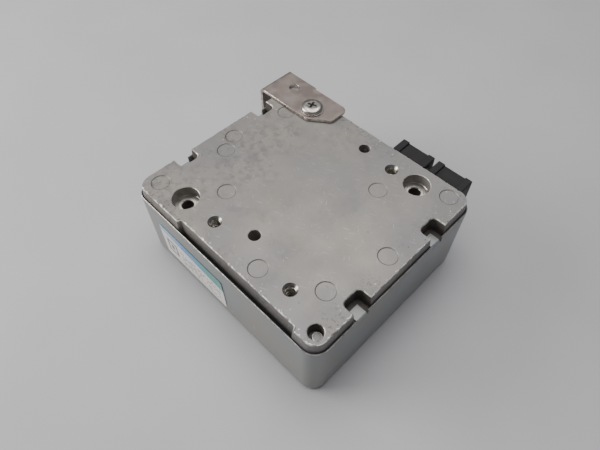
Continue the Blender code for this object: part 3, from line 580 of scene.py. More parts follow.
def moulded(name, dark, light, rough_low, rough_high, ior=1.53, grain=0.6):
    """A thermoplastic moulding with a spark-eroded texture: even colour, fine grain and faint flow marks."""
    material, tree, shader, where = finish(name, {"IOR": ior})
    flow = patches(tree, where, 8, 0.4, 0.65, 3)
    colour = add(tree, "ShaderNodeMix", {0: flow, 6: shade(dark), 7: shade(light)}, data_type="RGBA")
    tree.links.new(colour.outputs[2], shader.inputs["Base Color"])
    rough = add(tree, "ShaderNodeMapRange", {"Value": flow, "To Min": rough_low, "To Max": rough_high})
    tree.links.new(rough.outputs[0], shader.inputs["Roughness"])
    # A spark-eroded grain is near 0.05 mm; it is drawn at the size given, so that it shows
    fine = patches(tree, where, grain, 0.3, 0.7, 2, 2.0)
    bump = add(tree, "ShaderNodeBump", {"Height": fine, "Strength": 0.25, "Distance": 0.00004})
    tree.links.new(bump.outputs[0], shader.inputs["Normal"])
    return material


def metal(name, light, dark, rough_low, rough_high, size=3.0):
    """A bare or plated metal whose tone and polish drift a little from place to place."""
    material, tree, shader, where = finish(name, {"Metallic": 1.0})
    drift = patches(tree, where, size, 0.38, 0.66, 4)
    colour = add(tree, "ShaderNodeMix", {0: drift, 6: shade(light), 7: shade(dark)}, data_type="RGBA")
    tree.links.new(colour.outputs[2], shader.inputs["Base Color"])
    rough = add(tree, "ShaderNodeMapRange", {"Value": drift, "To Min": rough_low, "To Max": rough_high})
    tree.links.new(rough.outputs[0], shader.inputs["Roughness"])
    # The grain of a drawn or rolled skin is finer than 0.05 mm; it is drawn at 0.5 mm, so that it shows
    fine = patches(tree, where, 0.5, 0.3, 0.7, 2, 2.0)
    bump = add(tree, "ShaderNodeBump", {"Height": fine, "Strength": 0.2, "Distance": 0.00003})
    tree.links.new(bump.outputs[0], shader.inputs["Normal"])
    return material


def printed_film():
    """Glossy white polyester film with a blue band and rows of ink dashes, none of them letters."""
    material, tree, shader, where = finish("printed_polyester_film", {"Roughness": 0.22, "IOR": 1.6})
    start = at(LABEL_X[0], 0, LABEL_Z[0])
    local = add(tree, "ShaderNodeVectorMath", {0: where, 1: tuple(start)}, operation="SUBTRACT").outputs[0]
    sockets = {0: local, "Scale": 1 / MM}
    local = add(tree, "ShaderNodeVectorMath", sockets, operation="SCALE").outputs[0]
    along, _, up = add(tree, "ShaderNodeSeparateXYZ", {0: local}).outputs

    def between(value, low, high, edge=0.15):
        """A mask that is full where value lies between low and high, in millimetres."""
        rise = {"Value": value, "From Min": low - edge, "From Max": low + edge}
        fall = {"Value": value, "From Min": high + edge, "From Max": high - edge}
        rise = add(tree, "ShaderNodeMapRange", rise).outputs[0]
        fall = add(tree, "ShaderNodeMapRange", fall).outputs[0]
        return meeting(tree, rise, fall)

    tint = add(tree, "ShaderNodeMapRange", {"Value": along, "From Min": 4.0, "From Max": 22.0}).outputs[0]
    band = add(tree, "ShaderNodeMix", {0: tint, 6: shade("A9C8E4"), 7: shade("4F93CE")}, data_type="RGBA")
    tint = add(tree, "ShaderNodeMapRange", {"Value": along, "From Min": 22.0, "From Max": 42.0}).outputs[0]
    sockets = {0: tint, 6: band.outputs[2], 7: shade("2F9C93")}
    band = add(tree, "ShaderNodeMix", sockets, data_type="RGBA").outputs[2]
    # The band's lower edge falls away from left to right
    fall = add(tree, "ShaderNodeMath", {0: along, 1: 0.09, 2: 4.2}, operation="MULTIPLY_ADD").outputs[0]
    fall = add(tree, "ShaderNodeMath", {0: up, 1: fall}, operation="ADD").outputs[0]
    edge = add(tree, "ShaderNodeMapRange", {"Value": fall, "From Min": 24.6, "From Max": 25.4}).outputs[0]
    sockets = {0: edge, 6: shade("F6F6F4"), 7: band}
    colour = add(tree, "ShaderNodeMix", sockets, data_type="RGBA").outputs[2]
    # Small print, drawn as dashes 1 mm long in rows 2.5 mm apart, so that it shows
    row, dash = 2.5, 1.0
    rows = add(tree, "ShaderNodeMath", {0: up, 1: row}, operation="DIVIDE").outputs[0]
    cells = add(tree, "ShaderNodeMath", {0: along, 1: dash}, operation="DIVIDE").outputs[0]
    within = add(tree, "ShaderNodeMath", {0: rows}, operation="FRACT").outputs[0]
    rows = add(tree, "ShaderNodeMath", {0: rows}, operation="FLOOR").outputs[0]
    cells = add(tree, "ShaderNodeMath", {0: cells}, operation="FLOOR").outputs[0]
    cell = add(tree, "ShaderNodeCombineXYZ", {0: cells, 1: rows}).outputs[0]
    chance = add(tree, "ShaderNodeTexWhiteNoise", {"Vector": cell}, noise_dimensions="2D").outputs[0]
    ink = add(tree, "ShaderNodeMath", {0: chance, 1: 0.5}, operation="GREATER_THAN").outputs[0]
    lines = between(within, 0.2, 0.6, 0.06)
    ink = meeting(tree, ink, lines, between(along, 15.0, 47.5), between(up, 1.8, 15.0))
    for left, right, bottom, top in PLAIN_MARK:
        bar = meeting(tree, between(along, left, right), between(up, bottom, top))
        ink = add(tree, "ShaderNodeMath", {0: ink, 1: bar}, operation="MAXIMUM").outputs[0]
    ink = add(tree, "ShaderNodeMath", {0: ink, 1: 0.88}, operation="MULTIPLY").outputs[0]
    colour = add(tree, "ShaderNodeMix", {0: ink, 6: colour, 7: shade("1C1E22")}, data_type="RGBA").outputs[2]
    rub = patches(tree, where, 5, 0.55, 0.7, 4)
    rub = add(tree, "ShaderNodeMath", {0: rub, 1: 0.3}, operation="MULTIPLY").outputs[0]
    colour = add(tree, "ShaderNodeMix", {0: rub, 6: colour, 7: shade("B9BAB8")}, data_type="RGBA").outputs[2]
    tree.links.new(colour, shader.inputs["Base Color"])
    ripple = patches(tree, where, 6, 0.2, 0.8, 2)
    bump = add(tree, "ShaderNodeBump", {"Height": ripple, "Strength": 0.15, "Distance": 0.0001})
    tree.links.new(bump.outputs[0], shader.inputs["Normal"])
    return material


def pale_floor():
    """Plain matt grey-white sheet under the unit."""
    material, tree, shader, where = finish("pale_studio_sheet", {"Roughness": 0.6, "IOR": 1.45})
    drift = patches(tree, where, 60, 0.3, 0.7, 3)
    colour = add(tree, "ShaderNodeMix", {0: drift, 6: shade("C3C2C5"), 7: shade("BEBDC0")}, data_type="RGBA")
    tree.links.new(colour.outputs[2], shader.inputs["Base Color"])
    return material


CAST = die_cast_aluminium()
WORN = die_cast_aluminium("rubbed_die_cast_edge", worn=True)
BORED = bored_aluminium()
PAINTED_SHADE = painted_shade_aluminium()
PAINT = satin_paint()
CUT_RIM = sheared_steel("sheared_cover_edge", "CFCBC4", "8F8E8A")
PLATED = passivated_steel()
CUT_STEEL = sheared_steel("sheared_bracket_edge", "DCD4CD", "A0968F")
ZINC = bright_zinc()
PBT = moulded("black_glass_filled_pbt", "070708", "0D0C0E", 0.6, 0.72)
FILM = printed_film()
BRASS = metal("tinned_brass", "D8CDB0", "B5A682", 0.2, 0.34)


# ---------------------------------------------------------------- base casting


def base_casting():
    """The flanged plate with its skirt, pockets, bores and bosses."""
    # The fourth finish paints shade into the floors and walls of pockets, holes and grooves
    finishes = [CAST, WORN, BORED, PAINTED_SHADE]
    cast, worn, bored, shade_skin = range(4)
    corners = [(HALF_X, HALF_Y, CORNER), (-HALF_X, HALF_Y, CORNER), (-HALF_X, -HALF_Y, CORNER)]
    corners += [(x, -HALF_Y + depth, 1.2 if depth else 0.7) for x, depth in RECESS]
    corners += [(HALF_X, -HALF_Y, CORNER)]
    outline = spaced(fillet(corners), EDGE_STEP)

    # The top edge is rubbed unevenly, with a few deeper nicks
    dice = random.Random(11)
    wear = []
    for x, y in outline:
        drift = 0.36 + 0.2 * noise.noise(Vector((x, y, 0)) * 0.35)
        knocked = 0.4 if x > 40 and y < -30 else 0.22 if y < -50 or x > 60 else 0.08
        wear.append(drift + (dice.uniform(0.2, 0.75) if dice.random() < knocked else 0))
    rings = [level(inset(outline, 0.3), FLANGE_LOW), level(inset(outline, -DRAFT), FLANGE_LOW + 0.3)]
    rings += [level(inset(outline, -DRAFT), SEAM)]
    for turn in (0, 30, 60, 90):
        rise, run = math.sin(math.radians(turn)), 1 - math.cos(math.radians(turn))
        edge = inset(outline, [amount * run for amount in wear])
        rings.append([(x, y, TOP - amount * (1 - rise)) for (x, y), amount in zip(edge, wear)])
    base = skin("cast_base", rings, finishes, [cast, cast, cast, worn, worn, worn], (cast, cast))

    skirt = rounded(HALF_X - SKIRT_INSET, HALF_Y - SKIRT_INSET, CORNER - SKIRT_INSET)
    rings = [level(inset(skirt, 0.4), SKIRT_LOW), level(skirt, SKIRT_LOW + 0.4), level(skirt, FLANGE_LOW + 1)]
    combine(base, skin("skirt", rings, finishes), "UNION")

    ceiling = TOP - PLATE
    hollow = rounded(HALF_X - CAVITY_WALL, HALF_Y - CAVITY_WALL, 4.0)
    rings = [level(hollow, SKIRT_LOW - 1), level(hollow, ceiling - 0.6), level(inset(hollow, 0.6), ceiling)]
    cavity = skin("hollow", rings, finishes)
    bosses = [(*place, *SEAT_BOSS) for place in COUNTERBORES]
    bosses += [(*place, *THROAT_BOSS) for place in COUNTERBORES]
    bosses += [(*place, BOSS_R, TAPPED_BOSS_LOW) for place in TAPPED]
    bosses += [(*place, BOSS_R, DOWEL_BOSS_LOW) for place in DOWEL_HOLES]
    bosses += [(*BRACKET_SCREW, *SCREW_BOSS), (*VENT, VENT_BOSS_R, SKIRT_LOW - 2)]
    bosses += [(*place, POST_R, SKIRT_LOW - 3) for place in POSTS]
    for x, y, radius, low in bosses:
        combine(cavity, turned("boss", ((radius, low), (radius, ceiling + 1)), (x, y), finishes, steps=32))
    for side in (-1, 1):
        for y in POCKET_Y:
            reach = sorted((side * (HALF_X - POCKET_DEPTH - POCKET_WALL), side * (HALF_X - CAVITY_WALL + 2)))
            low = (reach[0], y - POCKET_HALF - 2.2, SKIRT_LOW - 2)
            high = (reach[1], y + POCKET_HALF + 2.2, ceiling + 1)
            combine(cavity, block("pocket_block", low, high, finishes))
    combine(base, cavity)
    for place in POSTS:
        low = BOARD_TOP + 0.3
        post = ((POST_R, low), (POST_R, ceiling + 1))
        combine(base, turned("post", post, place, finishes, steps=32), "UNION")
        hole = ((POST_HOLE_R, low - 1), (POST_HOLE_R, low + POST_HOLE_DEEP))
        combine(base, turned("post_hole", hole, place, finishes, [bored], (bored, bored), 24))

    for side in (-1, 1):
        for y in POCKET_Y:
            mouth = rounded(POCKET_DEPTH + 1, POCKET_HALF, POCKET_CORNER, (side * (HALF_X + 1), y), 8)
            rings = [level(inset(mouth, 0.4), POCKET_FLOOR), level(mouth, POCKET_FLOOR + 0.4)]
            rings += [level(mouth, TOP - 0.45), level(inset(mouth, -0.95), TOP + 0.5)]
            # Pocket floors and walls take the painted shade finish
            combine(base, skin("pocket", rings, finishes, [shade_skin, shade_skin, worn], (shade_skin, cast)))
    bay = ((BAY_X[0], HALF_Y - 3.2, SKIRT_LOW - 1), (BAY_X[1], HALF_Y + 1, BAY_TOP))
    combine(base, block("bay", *bay, finishes))
    rear = ((BAY_X[0], HALF_Y - 6.8, SKIRT_LOW - 1), (BAY_X[1], HALF_Y - 2.2, 43.3))
    combine(base, block("rear_bay", *rear, finishes))

    seat = TOP - COUNTERBORE_DEPTH
    bore = (
        (THROAT_R, THROAT_LOW), (THROAT_R, seat - 0.3), (THROAT_R + 0.3, seat), (4.5, seat),
        (4.7, seat - 0.35), (COUNTERBORE_R - 0.4, seat - 0.35), (COUNTERBORE_R, seat),
        (COUNTERBORE_R, TOP - 0.3), (COUNTERBORE_R + 0.8, TOP + 0.5),
    )
    # The throat under each counterbore takes the painted shade finish
    bands = [shade_skin] + [bored] * 5 + [cast, worn]
    for place in COUNTERBORES:
        combine(base, turned("counterbore", bore, place, finishes, bands, (shade_skin, worn)))
    # The floors of the tapped and dowel holes, and the vent seat's wall and floor, take the painted shade
    # finish
    tapped = ((TAPPED_R, TAPPED_LOW), (TAPPED_R, TOP - 0.95), (TAPPED_R + 1.45, TOP + 0.5))
    for place in TAPPED:
        combine(base, turned("tapped", tapped, place, finishes, [bored, bored], (shade_skin, bored)))
    dowel = ((DOWEL_R, DOWEL_LOW), (DOWEL_R, TOP - 0.25), (DOWEL_R + 0.75, TOP + 0.5))
    for place in DOWEL_HOLES:
        combine(base, turned("dowel", dowel, place, finishes, [cast, worn], (shade_skin, worn)))
    vent = ((3.2, TOP - 6.6), (3.65, TOP - 0.3), (4.45, TOP + 0.5))
    combine(base, turned("vent_seat", vent, VENT, finishes, [shade_skin, worn], (shade_skin, worn)))
    hole = ((SCREW_HOLE_R, SCREW_HOLE_LOW), (SCREW_HOLE_R, TOP + 1))
    combine(base, turned("screw_hole", hole, BRACKET_SCREW, finishes, [bored]))
    for place in CLAMP_SCREWS:
        hole = ((CLAMP_HOLE_R, ceiling - 1), (CLAMP_HOLE_R, TOP - 1.8))
        combine(base, turned("clamp_hole", hole, place, finishes, [bored], (bored, bored), 24))

    face = TOP - EJECTOR_DEPTH
    mark = (
        (EJECTOR_R - 0.55, face), (EJECTOR_R - 0.5, face - 0.08), (EJECTOR_R - 0.4, face - 0.08),
        (EJECTOR_R - 0.35, face), (EJECTOR_R, TOP), (EJECTOR_R + 0.2, TOP + 0.4),
    )
    for place in EJECTOR_MARKS:
        # The floor of each mark's groove takes the painted shade finish, drawn as a thin dark line
        combine(base, turned("mark", mark, place, finishes, [cast, shade_skin, cast, cast, cast], (cast, cast)))
    return finish_piece(base, ["base_casting"])


# ---------------------------------------------------------------- cover


def cover_tab(side, y):
    """One tab bent from the rim into a pocket, with a rounded bend."""
    wall = COVER_HALF_X
    inner, outer = 0.5, 0.5 + SHEET
    turns = [math.radians(90 * i / 6) for i in range(7)]
    bend_x, bend_z = wall - outer, TAB_LOW + SHEET - outer
    profile = [(wall, TAB_LOW - 3)]
    profile += [(bend_x + outer * math.cos(t), bend_z + outer * math.sin(t)) for t in turns]
    profile += [(wall - TAB_REACH, TAB_LOW + SHEET), (wall - TAB_REACH, TAB_LOW)]
    profile += [(bend_x + inner * math.cos(t), bend_z + inner * math.sin(t)) for t in reversed(turns)]
    profile += [(wall - SHEET, TAB_LOW - 3)]
    rings = [[(side * x, y + offset, z) for x, z in profile] for offset in (-TAB_HALF, TAB_HALF)]
    return skin("tab", rings, [PAINT, CUT_RIM], [0], (1, 1))


def cover_shell():
    """The drawn steel cover, open at the top, with the rim left as it was sheared."""
    finishes = [PAINT, CUT_RIM]
    corner = CORNER + COVER_HALF_X - HALF_X

    def layer(inwards, z):
        return level(rounded(COVER_HALF_X - inwards, COVER_HALF_Y - inwards, corner - inwards), z)

    turns = [math.radians(90 * i / 10) for i in range(11)]
    inside = FOOT_R - SHEET
    rings = [layer(FOOT_R * (1 - math.sin(t)), FOOT_R * (1 - math.cos(t))) for t in turns]
    rings += [layer(0, RIM - 0.3), layer(0.1, RIM - 0.1), layer(0.3, RIM), layer(0.5, RIM - 0.1)]
    rings += [layer(0.62, RIM - 0.35), layer(0.7, RIM - 1.5), layer(SHEET, RIM - 3.0)]
    rings += [
        layer(SHEET + inside * (1 - math.sin(t)), SHEET + inside * (1 - math.cos(t))) for t in reversed(turns)
    ]
    bands = [0] * 11 + [1, 1] + [0] * 15
    cover = skin("steel_cover", rings, finishes, bands)
    for side in (-1, 1):
        for y in TAB_Y:
            half = TAB_HALF + TAB_RELIEF
            reach = sorted((side * (COVER_HALF_X - 3), side * (COVER_HALF_X + 1)))
            low, high = (reach[0], y - half, TAB_LOW - 0.5), (reach[1], y + half, RIM + 1)
            combine(cover, block("slot", low, high, finishes, 1))
            combine(cover, cover_tab(side, y), "UNION")
    low = (BAY_X[0] - 0.5, HALF_Y - 4, WINDOW_LOW)
    combine(cover, block("window", low, (BAY_X[1] + 0.5, HALF_Y + 5, RIM + 1), finishes, 1))
    return finish_piece(cover, ["cover_shell"])


def label():
    """The rating label, a film with round corners."""
    low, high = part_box("rating_label")
    near, far = (low.y - MIDDLE.y) / MM, (high.y - MIDDLE.y) / MM
    middle = (sum(LABEL_X) / 2, sum(LABEL_Z) / 2)
    outline = rounded((LABEL_X[1] - LABEL_X[0]) / 2, (LABEL_Z[1] - LABEL_Z[0]) / 2, 1.5, middle, 8)
    rings = [[(x, y, z) for x, z in outline] for y in (near, far)]
    return finish_piece(skin("label_film", rings, [FILM]), ["rating_label"])


# ---------------------------------------------------------------- bracket and its screw


def mounting_bracket():
    """A plate with a bevelled tongue, a leg folded down at one end and a low flange behind."""
    finishes = [PLATED, CUT_STEEL]
    low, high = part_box("mounting_bracket")
    x0, x1 = (low.x - MIDDLE.x) / MM, (high.x - MIDDLE.x) / MM
    y0, far = (low.y - MIDDLE.y) / MM, (high.y - MIDDLE.y) / MM
    y1, leg_low = far - 1.0, low.z / MM
    bend, inner = x0 + BEND_R, BEND_R - STEEL
    outline = fillet((
        (bend, y0, 0), (TONGUE_BEVEL[0], y0, 3.5), (x1, TONGUE_BEVEL[1], 3.0), (x1, y1, 4.2),
        (-48.6, y1, 0.6), (-49.4, far, 0.6), (bend, far, 0),
    ), 8)
    broken = 0.18
    rings = [
        level(inset(outline, broken), BRACKET_LOW), level(outline, BRACKET_LOW + broken),
        level(outline, BRACKET_TOP - broken), level(inset(outline, broken), BRACKET_TOP),
    ]
    bracket = skin("steel_bracket", rings, finishes, [1, 1, 1])

    turns = [math.radians(90 * i / 10) for i in range(11)]
    middle_z = BRACKET_TOP - BEND_R
    profile = [(bend + 1, BRACKET_TOP)]
    profile += [(bend - BEND_R * math.sin(t), middle_z + BEND_R * math.cos(t)) for t in turns]
    profile += [(x0, leg_low), (x0 + STEEL, leg_low)]
    profile += [(bend - inner * math.sin(t), middle_z + inner * math.cos(t)) for t in reversed(turns)]
    profile += [(bend + 1, BRACKET_LOW)]
    rings = [[(x, y, z) for x, z in profile] for y in (y0, far)]
    combine(bracket, skin("leg", rings, finishes, [0], (1, 1)), "UNION")

    middle_y = far - BEND_R
    profile = [(middle_y - 1, BRACKET_TOP)]
    profile += [(middle_y + BEND_R * math.sin(t), middle_z + BEND_R * math.cos(t)) for t in turns]
    profile += [(far, FAR_FLANGE_LOW), (far - STEEL, FAR_FLANGE_LOW)]
    profile += [(middle_y + inner * math.sin(t), middle_z + inner * math.cos(t)) for t in reversed(turns)]
    profile += [(middle_y - 1, BRACKET_LOW)]
    rings = [[(x, y, z) for y, z in profile] for x in FAR_FLANGE]
    relief = ((x0 - 0.1, far - 3.2, leg_low - 1), (FAR_FLANGE[0], far + 1, BRACKET_LOW - 1.0))
    combine(bracket, block("relief", *relief, finishes, 1))
    combine(bracket, skin("far_flange", rings, finishes, [0], (1, 1)), "UNION")

    for x, y, radius in ((*BRACKET_SCREW, SCREW_HOLE_R), (*PIP_HOLE, 2.9)):
        profile = ((radius, BRACKET_LOW - 1), (radius, BRACKET_TOP - 0.15), (radius + 1.15, BRACKET_TOP + 1))
        combine(bracket, turned("hole", profile, (x, y), finishes, [1, 1]))
    slot = rounded(5.5, 3.25, 3.2, SLOT)
    rings = [[(x, y, z) for y, z in slot] for x in (x0 - 1, x0 + STEEL + 1)]
    combine(bracket, skin("slot", rings, finishes, [1]))
    return finish_piece(bracket, ["mounting_bracket"])


def bracket_screw():
    """A pan-head screw with a cross recess."""
    low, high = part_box("bracket_screw")
    head = high.z / MM - HEAD
    profile = [(2.2, low.z / MM), (2.95, low.z / MM + 0.8), (2.95, head), (5.9, head), (6.1, head + 0.15)]
    profile += [(6.2, head + 0.35), (6.2, head + 0.75)]
    crown = [math.radians(90 * i / 9) for i in range(1, 9)]
    profile += [(2.2 + 4.0 * math.cos(t) ** 0.75, head + 0.75 + 1.65 * math.sin(t)) for t in crown]
    screw = turned("pan_head_screw", profile, BRACKET_SCREW, [ZINC, PAINTED_SHADE])
    top = high.z / MM
    for heading in (20, 110):
        turn = math.radians(heading)
        along, across = Vector((math.cos(turn), math.sin(turn))), Vector((-math.sin(turn), math.cos(turn)))
        rings = []
        for reach, half, z in ((1.0, 0.4, top - 2.0), (2.5, 0.6, top - 0.3), (3.2, 0.78, top + 0.6)):
            corners = ((reach, half), (-reach, half), (-reach, -half), (reach, -half))
            points = [along * a + across * b + Vector(BRACKET_SCREW) for a, b in corners]
            rings.append([(p.x, p.y, z) for p in points])
        # The cross recess takes the painted shade finish, standing in for the shadow inside it
        combine(screw, skin("recess", rings, [ZINC, PAINTED_SHADE], [1, 1], (1, 1)))
    return finish_piece(screw, ["bracket_screw"])


def bracket_washer():
    low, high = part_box("bracket_washer")
    z0, z1 = low.z / MM, high.z / MM
    profile = (
        (3.25, z0), (6.5, z0), (6.7, z0 + 0.2), (6.7, z1 - 0.2), (6.6, z1 - 0.05), (6.45, z1), (3.25, z1),
    )
    rings = [level(circle(*BRACKET_SCREW, radius), z) for radius, z in profile]
    return finish_piece(skin("plain_washer", rings, [ZINC], loop=True), ["bracket_washer"])


def vent_plug():
    low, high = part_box("vent_plug")
    z0, z1 = low.z / MM, high.z / MM
    profile = (
        (2.2, z0), (2.4, z0 + 0.2), (2.4, z1 - 0.35), (2.3, z1 - 0.1),
        (2.05, z1), (1.9, z1), (1.75, z1 - 0.15),
    )
    place = (VENT[0] + 0.5, VENT[1] + 0.5)
    plug = turned("pressed_plug", profile, place, [CAST, WORN], [0, 0, 1, 1, 1, 0], (0, 0))
    return finish_piece(plug, ["vent_plug"])


# ---------------------------------------------------------------- connectors


def connector(letter):
    """One shroud with its socket, its raised shoulders and the moulded strip that holds the pins."""
    low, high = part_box(f"connector_{letter}_housing")
    x, front = (low.x - MIDDLE.x) / MM, (high.y - MIDDLE.y) / MM
    z0, z1 = CONNECTOR_Z
    half, tall = CONNECTOR_W / 2, (z1 - z0) / 2
    middle = (x + half, z0 + tall)
    outline = rounded(half, tall, 1.6, middle, 6)
    broken = 0.3
    rings = [[(a, 55.0, b) for a, b in outline], [(a, front - broken, b) for a, b in outline]]
    rings += [[(a, front, b) for a, b in rounded(half - broken, tall - broken, 1.4, middle, 6)]]
    housing = skin(f"connector_{letter}_shroud", rings, [PBT])
    rear = ((x + 0.8, 49.5, BOARD_TOP + 0.3), (x + CONNECTOR_W - 0.8, 55.6, 43.0))
    combine(housing, block("rear", *rear, [PBT]), "UNION")
    # Two raised shoulders, with a low rib across between them at the casting's edge
    for start in (x, x + CONNECTOR_W - SHOULDER):
        centre = (start + SHOULDER / 2, (front + SHOULDER_BACK) / 2)
        ring = rounded(SHOULDER / 2, (front - SHOULDER_BACK) / 2, 0.5, centre, 4)
        crest = z1 + SHOULDER_RISE
        rings = [level(ring, z1 - 2.5), level(ring, crest - 0.3), level(inset(ring, 0.3), crest)]
        combine(housing, skin("shoulder", rings, [PBT]), "UNION")
    for start, end in ((x + 5.0, x + 8.4), (x + 12.6, x + 15.8)):
        rib = ((start, SHOULDER_BACK, z1 - 1), (end, SHOULDER_BACK + 1.2, z1 + 0.6))
        combine(housing, block("rib", *rib, [PBT]), "UNION")
    socket = rounded(half - 1.5, tall - 1.8, 1.2, middle, 6)
    flare = rounded(half - 1.1, tall - 1.4, 1.4, middle, 6)
    rings = [[(a, SOCKET_FLOOR, b) for a, b in socket], [(a, front - 0.5, b) for a, b in socket]]
    rings += [[(a, front + 0.1, b) for a, b in flare]]
    combine(housing, skin("socket", rings, [PBT]))
    for offset in (5.6, CONNECTOR_W - 6.4):
        key = ((x + offset, SOCKET_FLOOR, z1 - 2.3), (x + offset + 0.8, front - 1.0, z1 - 1.0))
        combine(housing, block("key", *key, [PBT]), "UNION")
    way = ((x + 3.0, 48.0, BOARD_TOP - 1), (x + CONNECTOR_W - 3.0, 58.0, 41.5))
    combine(housing, block("tail_way", *way, [PBT]))
    strip = ((x + 3.4, 57.3, 33.6), (x + CONNECTOR_W - 3.4, 59.0, 41.0))
    combine(housing, round_edges(block("strip", *strip, [PBT]), 0.25), "UNION")
    if letter == "a":
        web = ((x + CONNECTOR_W - 1, 55.5, 33.0), (x + CONNECTOR_W + 2.3, 59.5, z1 - 0.6))
        combine(housing, round_edges(block("web", *web, [PBT]), 0.3), "UNION")
    return finish_piece(housing, [f"connector_{letter}_housing"])


def formed_strip_tree():
    """Node tree that runs a square section along each path it is given, tapered at the path's start."""
    tree = bpy.data.node_groups.new("formed_strip", "GeometryNodeTree")
    for name, kind in (
        ("Paths", "NodeSocketGeometry"), ("Width", "NodeSocketFloat"), ("Thickness", "NodeSocketFloat"),
        ("Tip", "NodeSocketFloat"), ("Finish", "NodeSocketMaterial"),
    ):
        tree.interface.new_socket(name, in_out="INPUT", socket_type=kind)
    tree.interface.new_socket("Strips", in_out="OUTPUT", socket_type="NodeSocketGeometry")
    given = add(tree, "NodeGroupInput").outputs
    path = add(tree, "GeometryNodeMeshToCurve", {"Mesh": given["Paths"]}).outputs[0]
    reach = add(tree, "GeometryNodeSplineParameter").outputs["Length"]
    limits = {"Value": reach, "From Max": given["Tip"], "To Min": 0.45, "To Max": 1.0}
    taper = add(tree, "ShaderNodeMapRange", limits).outputs[0]
    path = add(tree, "GeometryNodeSetCurveRadius", {"Curve": path, "Radius": taper}).outputs[0]
    section = {"Width": given["Width"], "Height": given["Thickness"]}
    section = add(tree, "GeometryNodeCurvePrimitiveQuadrilateral", section).outputs[0]
    sockets = {"Curve": path, "Profile Curve": section, "Fill Caps": True}
    strips = add(tree, "GeometryNodeCurveToMesh", sockets).outputs[0]
    strips = add(tree, "GeometryNodeRealizeInstances", {0: strips}).outputs[0]
    sockets = {"Geometry": strips, "Material": given["Finish"]}
    strips = add(tree, "GeometryNodeSetMaterial", sockets).outputs[0]
    add(tree, "NodeGroupOutput", {"Strips": strips})
    return tree


def wound_tree():
    """Node tree that winds a ridge or a wire into a helix at each point it is given."""
    tree = bpy.data.node_groups.new("wound_ridge", "GeometryNodeTree")
    for name, kind in (
        ("Places", "NodeSocketGeometry"), ("Radius", "NodeSocketFloat"), ("Pitch", "NodeSocketFloat"),
        ("Turns", "NodeSocketFloat"), ("Section", "NodeSocketFloat"), ("Sides", "NodeSocketInt"),
        ("Steps", "NodeSocketInt"), ("Finish", "NodeSocketMaterial"),
    ):
        tree.interface.new_socket(name, in_out="INPUT", socket_type=kind)
    tree.interface.new_socket("Windings", in_out="OUTPUT", socket_type="NodeSocketGeometry")
    given = add(tree, "NodeGroupInput").outputs
    sockets = {0: given["Pitch"], 1: given["Turns"]}
    height = add(tree, "ShaderNodeMath", sockets, operation="MULTIPLY").outputs[0]
    sockets = {
        "Resolution": given["Steps"], "Rotations": given["Turns"], "Start Radius": given["Radius"],
        "End Radius": given["Radius"], "Height": height,
    }
    spiral = add(tree, "GeometryNodeCurveSpiral", sockets).outputs[0]
    sockets = {"Resolution": given["Sides"], "Radius": given["Section"]}
    section = add(tree, "GeometryNodeCurvePrimitiveCircle", sockets).outputs[0]
    sockets = {"Curve": spiral, "Profile Curve": section, "Fill Caps": True}
    ridge = add(tree, "GeometryNodeCurveToMesh", sockets).outputs[0]
    sockets = {"Points": given["Places"], "Instance": ridge}
    ridges = add(tree, "GeometryNodeInstanceOnPoints", sockets).outputs[0]
    ridges = add(tree, "GeometryNodeRealizeInstances", {0: ridges}).outputs[0]
    sockets = {"Geometry": ridges, "Material": given["Finish"]}
    ridges = add(tree, "GeometryNodeSetMaterial", sockets).outputs[0]
    add(tree, "NodeGroupOutput", {"Windings": ridges})
    return tree


def grown(name, points, edges, tree, values):
    """Runs a node tree on points and edges, and keeps the result as a plain mesh."""
    mesh = bpy.data.meshes.new(name)
    mesh.from_pydata([at(*point) for point in points], edges, [])
    obj = bpy.data.objects.new(name, mesh)
    bpy.context.scene.collection.objects.link(obj)
    change = obj.modifiers.new("grow", "NODES")
    change.node_group = tree
    sockets = {item.name: item.identifier for item in tree.interface.items_tree if item.in_out == "INPUT"}
    for key, value in values.items():
        change[sockets[key]] = value
    obj.update_tag()
    return settle(obj)


def contact_pins(tree):
    """Twelve pins in each socket, bent down to the board behind it."""
    points, edges = [], []
    for letter in "ab":
        low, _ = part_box(f"connector_{letter}_housing")
        middle = (low.x - MIDDLE.x) / MM + CONNECTOR_W / 2
        for column in range(PIN_COLUMNS):
            x = middle + PIN_PITCH * (column - (PIN_COLUMNS - 1) / 2)
            for z, back in zip(PIN_ROWS, (53.05, 50.85)):
                first = len(points)
                points += [(x, 63.6, z), (x, 62.6, z), (x, back + 0.5, z), (x, back, z - 0.5)]
                points.append((x, back, BOARD_TOP + 0.35))
                edges += [(first + i, first + i + 1) for i in range(4)]
    values = {"Width": 0.7 * MM, "Thickness": 0.7 * MM, "Tip": 0.9 * MM, "Finish": BRASS}
    pins = grown("contact_pins", points, edges, tree, values)
    return finish_piece(pins, ["connector_a_terminals", "connector_b_terminals"], sharp=30)


def tapped_threads(tree):
    """The thread ridges inside the tapped holes."""
    places = [(x, y, TAPPED_LOW + 0.3) for x, y in TAPPED]
    values = {
        "Radius": (TAPPED_R + 0.02) * MM, "Pitch": THREAD_PITCH * MM, "Turns": 9.4, "Section": 0.2 * MM,
        "Sides": 4, "Steps": 40, "Finish": BORED,
    }
    return finish_piece(grown("tapped_threads", places, [], tree, values), sharp=50)


# ---------------------------------------------------------------- parts that stay as the frame has them


def dress(node, material):
    """Gives a carried-over part its real finish."""
    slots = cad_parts[node].data.materials
    slots.clear()
    slots.append(material)


